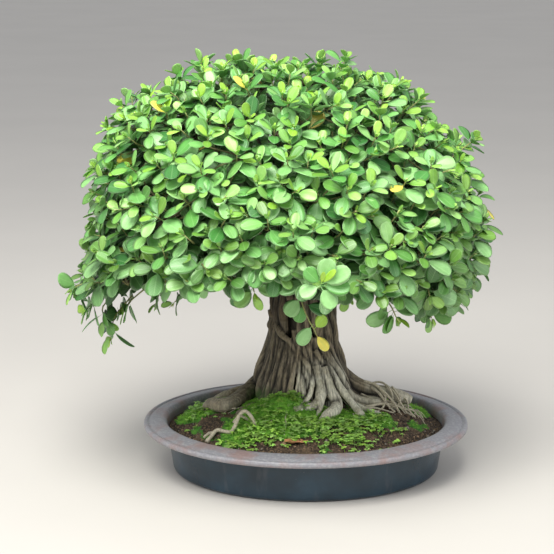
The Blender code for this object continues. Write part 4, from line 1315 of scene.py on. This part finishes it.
def rosette(leaves, rng, base, axis, outward, scale, youth, shade, amount=None):
    """Leaves round a shoot's tip: large and spreading below, small and upright above."""
    s, axis = settings("crown"), unit(axis)
    high = float(smoothstep((base[2] - UPRIGHT_FROM) / UPRIGHT_OVER))
    side = unit(np.cross(axis, (0.3, 0.2, 0.9)))
    other = np.cross(axis, side)
    amount = amount or int(rng.integers(5, 8))
    turn = rng.uniform(0, TURN)
    for k in range(amount + YOUNG_LEAVES):
        part = min(1.0, k / max(1, amount - 1))
        bud = k >= amount
        turn += GOLDEN_ANGLE + rng.uniform(-0.25, 0.25)
        opening = blend(blend(84, 64, high), 34, part)
        lean = math.radians(rng.uniform(8, 26) if bud else opening + rng.uniform(-10, 10))
        along = math.cos(lean) * axis + math.sin(lean) * (math.cos(turn) * side + math.sin(turn) * other)
        up = unit(0.40 * axis + 0.45 * outward + 0.62 * UP_LIGHT + rng.uniform(-0.30, 0.30, 3))
        if not bud:
            along = unit(along - blend(0.55, 0.10, high) * (along @ up) * up)
        grown = rng.uniform(0.26, 0.42) if bud else blend(1.05, 0.64, part**1.3) * rng.uniform(0.84, 1.12)
        length = s.length * scale * grown
        width = length * s.width * (0.62 if bud else rng.uniform(0.88, 1.10))
        tone = leaf_tone(rng, 1.0 if bud else max(0.0, part - 0.4) * 1.5, youth, shade)
        shape = (rng.uniform(0.05, 0.32), rng.uniform(-0.04, 0.20), rng.uniform(-0.25, 0.25))
        leaves.add(base - axis * (1 - part) * LEAFY_SHOOT, along, up, length, width, tone, *shape)
    if youth:
        leaves.add(base, axis, side, BUD_LENGTH, BUD_WIDTH, np.array(s.bud[:]) * shade, 1.2)


# Shoots that stick out of the dome: points to the tip, number of leaves, and leaf size
SPRIGS = (
    (((-.230, -.02, .262), (-.268, -.02, .238), (-.284, -.02, .222)), 5, 1.0),
    (((-.262, -.02, .262), (-.292, -.02, .254), (-.302, -.02, .248)), 4, 1.0),
    (((-.235, -.02, .252), (-.262, -.03, .228), (-.258, -.03, .208)), 5, 1.05),
    (((-.225, -.02, .240), (-.248, -.02, .212), (-.254, -.02, .186)), 4, 1.05),
    (((-.205, -.02, .252), (-.226, -.02, .234), (-.234, -.02, .224)), 5, 1.1),
    (((-.180, .00, .260), (-.190, .00, .242), (-.196, .00, .226)), 4, 0.9),
    (((-.150, .00, .262), (-.158, .00, .242), (-.172, .00, .226)), 3, 0.9),
    (((-.066, -.150, .310), (-.064, -.168, .294), (-.062, -.174, .284)), 4, 1.0),
    (((-.110, -.130, .315), (-.122, -.160, .306), (-.127, -.168, .302)), 4, 1.0),
    (((.040, -.150, .300), (.048, -.160, .288), (.050, -.166, .278)), 4, 0.95),
    (((.130, -.04, .262), (.150, -.05, .240), (.160, -.05, .220)), 5, 0.95),
    (((.088, -.08, .268), (.104, -.10, .250), (.112, -.100, .234)), 5, 0.95),
    (((.180, -.02, .268), (.198, -.02, .258), (.208, -.02, .256)), 4, 0.9),
    (((.010, .00, .520), (.014, .00, .534), (.016, .00, .540)), 5, 0.75),
    (((-.075, .00, .520), (-.082, .00, .534), (-.086, .00, .540)), 5, 0.8),
    (((.092, .00, .480), (.108, .00, .498), (.117, .00, .512)), 5, 0.8),
    (((.186, .00, .420), (.204, .00, .434), (.214, .00, .442)), 5, 0.8),
    (((.036, .00, .520), (.044, .00, .534), (.048, .00, .544)), 5, 0.75),
    (((-.225, .00, .455), (-.236, .00, .464), (-.240, .00, .468)), 5, 0.8),
)
# The sprig that hangs before the trunk and the big whorl above it: leaf base and tip, width, and tone
SINGLE_LEAVES = (
    ((-.006, -.148, .271), (-.024, -.153, .250), .0205, "light"),
    ((-.004, -.146, .262), (-.010, -.150, .240), .0165, "mature"),
    ((-.002, -.144, .262), (.027, -.150, .253), .0160, "deep"),
    ((.0085, -.150, .238), (-.009, -.153, .213), .0175, "light"),
    ((.0100, -.150, .232), (.0235, -.153, .249), .0160, "young"),
    ((.0115, -.150, .226), (.0265, -.154, .206), .0130, "yellow"),
    ((.0166, -.246, .311), (.0275, -.256, .343), .0230, "light"),
    ((.0166, -.246, .311), (.0495, -.257, .331), .0220, "light"),
    ((.0166, -.246, .310), (.0495, -.254, .309), .0215, "mature"),
    ((.0166, -.246, .309), (.0315, -.250, .284), .0210, "light"),
    ((.0166, -.246, .311), (-.0015, -.253, .331), .0190, "mature"),
    ((.0166, -.246, .310), (-.0070, -.252, .300), .0190, "light"),
    ((.0170, -.248, .312), (.0330, -.262, .332), .0085, "young"),
    ((.0170, -.248, .312), (.0200, -.264, .330), .0060, "young"),
)
FRONT_PAD = "foliage_hem_7"  # those leaves belong to the pad at the front
TO_FRONT = (0.0, -1.0, 0.45)  # and their upper sides face this way
# The stem that the sprig hangs on
HANGING = (
    (-.010, -.140, .285), (-.0037, -.148, .260), (.0035, -.150, .243), (.0100, -.150, .231),
    (.0125, -.151, .225),
)


def build_crown(hubs):
    """Leaves by pad, with the shoots and branches that carry them."""
    s = settings("crown")
    rng = np.random.default_rng(s.seed)
    names = list(hubs)
    middles = np.array([hubs[name][0] for name in names])
    groups, tips = {name: Leaves() for name in names}, {name: [] for name in names}

    def nearest(point):
        return names[int(np.argmin(np.sum((middles - point) ** 2, axis=1)))]

    for spacing, depth, scale, youth, shade in LAYERS:
        for spot, out in zip(*spread(rng, spacing, depth)):
            if depth == 0 and bumps(*(spot + 1.0), 0.042, 2) < -0.46:
                continue
            high = float(smoothstep((spot[2] - 0.36) / 0.18))
            spot = spot + out * rng.uniform(-0.010, 0.005)
            axis = out + (0, 0, 0.30) + rng.uniform(-0.36, 0.36, 3)
            name = nearest(spot)
            # Painted light and shade: leaves low on the dome are darkened and high ones lightened
            lit = shade * blend(0.62, 1.08, float(smoothstep((spot[2] - 0.26) / 0.18)))
            full, fresh = scale * blend(1.06, 0.82, high), youth * blend(0.6, 1.0, high)
            rosette(groups[name], rng, spot, axis, out, full, fresh, lit)
            tips[name].append((spot, unit(axis)))
    soup = Soup()
    for points, amount, scale in SPRIGS:
        line = line_through(points, 9)
        name = nearest(line[-1])
        soup.add(*tube(line, np.linspace(0.0012, 0.0007, 9), 6), 0.2)
        axis, out = unit(line[-1] - line[-3]), unit(line[-1] - CENTRE)
        rosette(groups[name], rng, line[-1], axis, out, scale, 1.0, 1.0, amount)
        for k, way in ((3, 1), (5, -1), (6, 1)):
            side = unit(np.cross(axis, out)) * way + axis * 0.5
            length = s.length * scale * rng.uniform(0.8, 1.0)
            tone = leaf_tone(rng, 0.1, 1.0, 1.0)
            groups[name].add(line[k], side, out + (0, 0, 0.5), length, length * s.width, tone)
    soup.add(*tube(line_through(HANGING, 24), np.linspace(0.0011, 0.0007, 24), 6), 0.0)
    for base, tip, width, tone in SINGLE_LEAVES:
        base, tip = np.array(base), np.array(tip)
        length = np.linalg.norm(tip - base) / (1 - ALONG[0])
        tone = np.array(getattr(s, tone)[:])
        groups[FRONT_PAD].add(base, tip - base, np.array(TO_FRONT), length, width, tone, 0.15, 0.04)
    finishes = [
        leaf_material("Waxy fig leaf, upper side", False), leaf_material("Waxy fig leaf, underside", True)
    ]
    for name in names:
        add_piece(groups[name].mesh("leaves_" + name.removeprefix("foliage_")), finishes, "leaf", name)
    build_shoots(hubs, tips, soup, rng)


SHOOTS_PER_BUNCH = 9
TWIG, SHOOT = (0.0026, 0.0015), (0.0014, 0.0007)  # radii at the start and at the end


def build_shoots(hubs, tips, soup, rng):
    """Branches from each pad's hub to bunches of shoots, and a shoot to every rosette."""
    for name, ends in tips.items():
        hub = hubs[name][1]
        spots = np.array([spot for spot, _ in ends])
        bunches = max(3, len(ends) // SHOOTS_PER_BUNCH)
        chosen = spots[rng.choice(len(spots), bunches, replace=False)]
        for _ in range(4):
            owner = np.argmin(np.sum((spots[:, None] - chosen[None]) ** 2, axis=-1), axis=1)
            middles = [spots[owner == k].mean(0) if np.any(owner == k) else chosen[k] for k in range(bunches)]
            chosen = np.array(middles)
        for k in range(bunches):
            joint = blend(chosen[k], hub, 0.42)
            bend = (hub + joint) / 2 + rng.uniform(-0.006, 0.006, 3)
            soup.add(*tube(line_through((hub, bend, joint), 8), np.linspace(*TWIG, 8), 7), 1.0)
            for spot, axis in (ends[i] for i in np.flatnonzero(owner == k)):
                back = spot - axis * 0.016
                middle = (joint + back) / 2 + rng.uniform(-0.004, 0.004, 3)
                line = line_through((joint, middle, back, spot + axis * 0.002), 9)
                ages = np.linspace(1.0, 0.1, 9).repeat(5)[:, None]
                soup.add(*tube(line, np.linspace(*SHOOT, 9), 5), ages)
    s = settings("wood")
    finish = fibre_material("Young green shoot", s.twig, times(s.bark, 0.5), 2.0, 0.6)
    add_piece(soup.mesh("shoots", "age"), [finish], "young_bark")


# ------------------------------------------------------------------ stage


FLOOR_HALF = 300.0


def build_stage():
    """A camera, a plain floor and soft lights to look at the plant with."""
    s, scene = settings("stage"), bpy.context.scene
    camera = bpy.data.objects.new("Camera", bpy.data.cameras.new("Camera"))
    camera.data.sensor_width, camera.data.lens, camera.data.clip_end = 36.0, s.lens, 1000.0
    camera.location = (0.0, -s.distance, s.height)
    camera.rotation_euler = (math.pi / 2 - s.pitch, 0.0, s.turn)
    scene.collection.objects.link(camera)
    scene.camera = camera
    scene.view_settings.view_transform = "Standard"  # keeps the leaves' greens as bright as they are
    finish, tree, shader, place = new_material("Plain matt paper floor", 0.75)
    soft = add_node(tree, "TexNoise", {"Vector": place, "Scale": per_mm(400), "Detail": 3.0})
    tone = add_node(tree, "ValToRGB", {"Fac": soft}, ((0.3, times(s.floor, 0.96)), (0.7, s.floor)))
    set_inputs(shader, {"Base Color": tone})
    corners = [(x * FLOOR_HALF, y * FLOOR_HALF, 0) for x, y in ((-1, -1), (1, -1), (1, 1), (-1, 1))]
    floor = bpy.data.objects.new("floor", mesh_from("floor", corners, [(0, 1, 2, 3)]))
    floor.data.materials.append(finish)
    scene.collection.objects.link(floor)
    scene.world = bpy.data.worlds.new("Soft daylight")
    scene.world.use_nodes = True
    set_inputs(scene.world.node_tree.nodes["Background"], {"Color": (0.93, 0.96, 1.0), "Strength": 0.62})
    lights = (
        ("Overhead softbox", (-0.30, -1.15, 2.2), 1.4, 74.0, (1.0, 1.0, 0.95)),
        ("Left softbox", (-2.0, -1.5, 1.3), 1.2, 15.0, (1.0, 0.99, 0.96)),
        ("Right fill", (2.0, -1.4, 1.1), 1.5, 16.0, (0.96, 0.98, 1.0)),
    )
    for name, spot, side, power, tint in lights:
        data = bpy.data.lights.new(name, "AREA")
        data.size, data.energy, data.color = side, power, tint
        light = bpy.data.objects.new(name, data)
        light.location = spot
        light.rotation_euler = (Vector((0, 0, 0.25)) - Vector(spot)).to_track_quat("-Z", "Y").to_euler()
        scene.collection.objects.link(light)


# ------------------------------------------------------------------ operators and panel


class BONSAI_OT_tray(bpy.types.Operator):
    """Build the glazed tray and its drain mesh"""

    bl_idname = "bonsai.tray"
    bl_label = "Tray"

    def execute(self, context):
        build_tray()
        build_screens()
        return {"FINISHED"}


class BONSAI_OT_ground(bpy.types.Operator):
    """Build the soil and what grows and lies on it"""

    bl_idname = "bonsai.ground"
    bl_label = "Ground"

    def execute(self, context):
        rng = np.random.default_rng(settings("ground").seed)
        build_soil()
        build_grains(rng)
        build_moss(rng)
        build_seedlings(rng)
        build_dry_leaf()
        return {"FINISHED"}


class BONSAI_OT_wood(bpy.types.Operator):
    """Build the trunk, its roots and limbs, and the thin loose roots"""

    bl_idname = "bonsai.wood"
    bl_label = "Trunk and roots"

    def execute(self, context):
        rng = np.random.default_rng(settings("wood").seed)
        build_trunk(pad_hubs(), rng)
        build_loose_roots(rng)
        return {"FINISHED"}


class BONSAI_OT_crown(bpy.types.Operator):
    """Build the leaves and the shoots that carry them"""

    bl_idname = "bonsai.crown"
    bl_label = "Crown"

    def execute(self, context):
        build_crown(pad_hubs())
        return {"FINISHED"}


class BONSAI_OT_stage(bpy.types.Operator):
    """Add the camera, the floor and soft lights"""

    bl_idname = "bonsai.stage"
    bl_label = "Stage"

    def execute(self, context):
        build_stage()
        return {"FINISHED"}


OPERATORS = (BONSAI_OT_tray, BONSAI_OT_ground, BONSAI_OT_wood, BONSAI_OT_crown, BONSAI_OT_stage)


class BONSAI_PT_panel(bpy.types.Panel):
    """Lists the operators in the sidebar"""

    bl_label = "Banyan Bonsai"
    bl_idname = "BONSAI_PT_panel"
    bl_space_type = "VIEW_3D"
    bl_region_type = "UI"
    bl_category = "Bonsai"

    def draw(self, context):
        for operator in OPERATORS:
            self.layout.operator(operator.bl_idname)


CLASSES = (*GROUPS.values(), *OPERATORS, BONSAI_PT_panel)


def register():
    for cls in CLASSES:
        bpy.utils.register_class(cls)
    for name, cls in GROUPS.items():
        setattr(bpy.types.Scene, "bonsai_" + name, bpy.props.PointerProperty(type=cls))


def unregister():
    for name in GROUPS:
        delattr(bpy.types.Scene, "bonsai_" + name)
    for cls in reversed(CLASSES):
        bpy.utils.unregister_class(cls)


def main():
    """Builds every piece and the stage."""
    register()
    bpy.ops.bonsai.tray()
    bpy.ops.bonsai.ground()
    bpy.ops.bonsai.wood()
    bpy.ops.bonsai.crown()
    bpy.ops.bonsai.stage()
    bpy.context.view_layer.update()


if __name__ == "__main__":
    main()
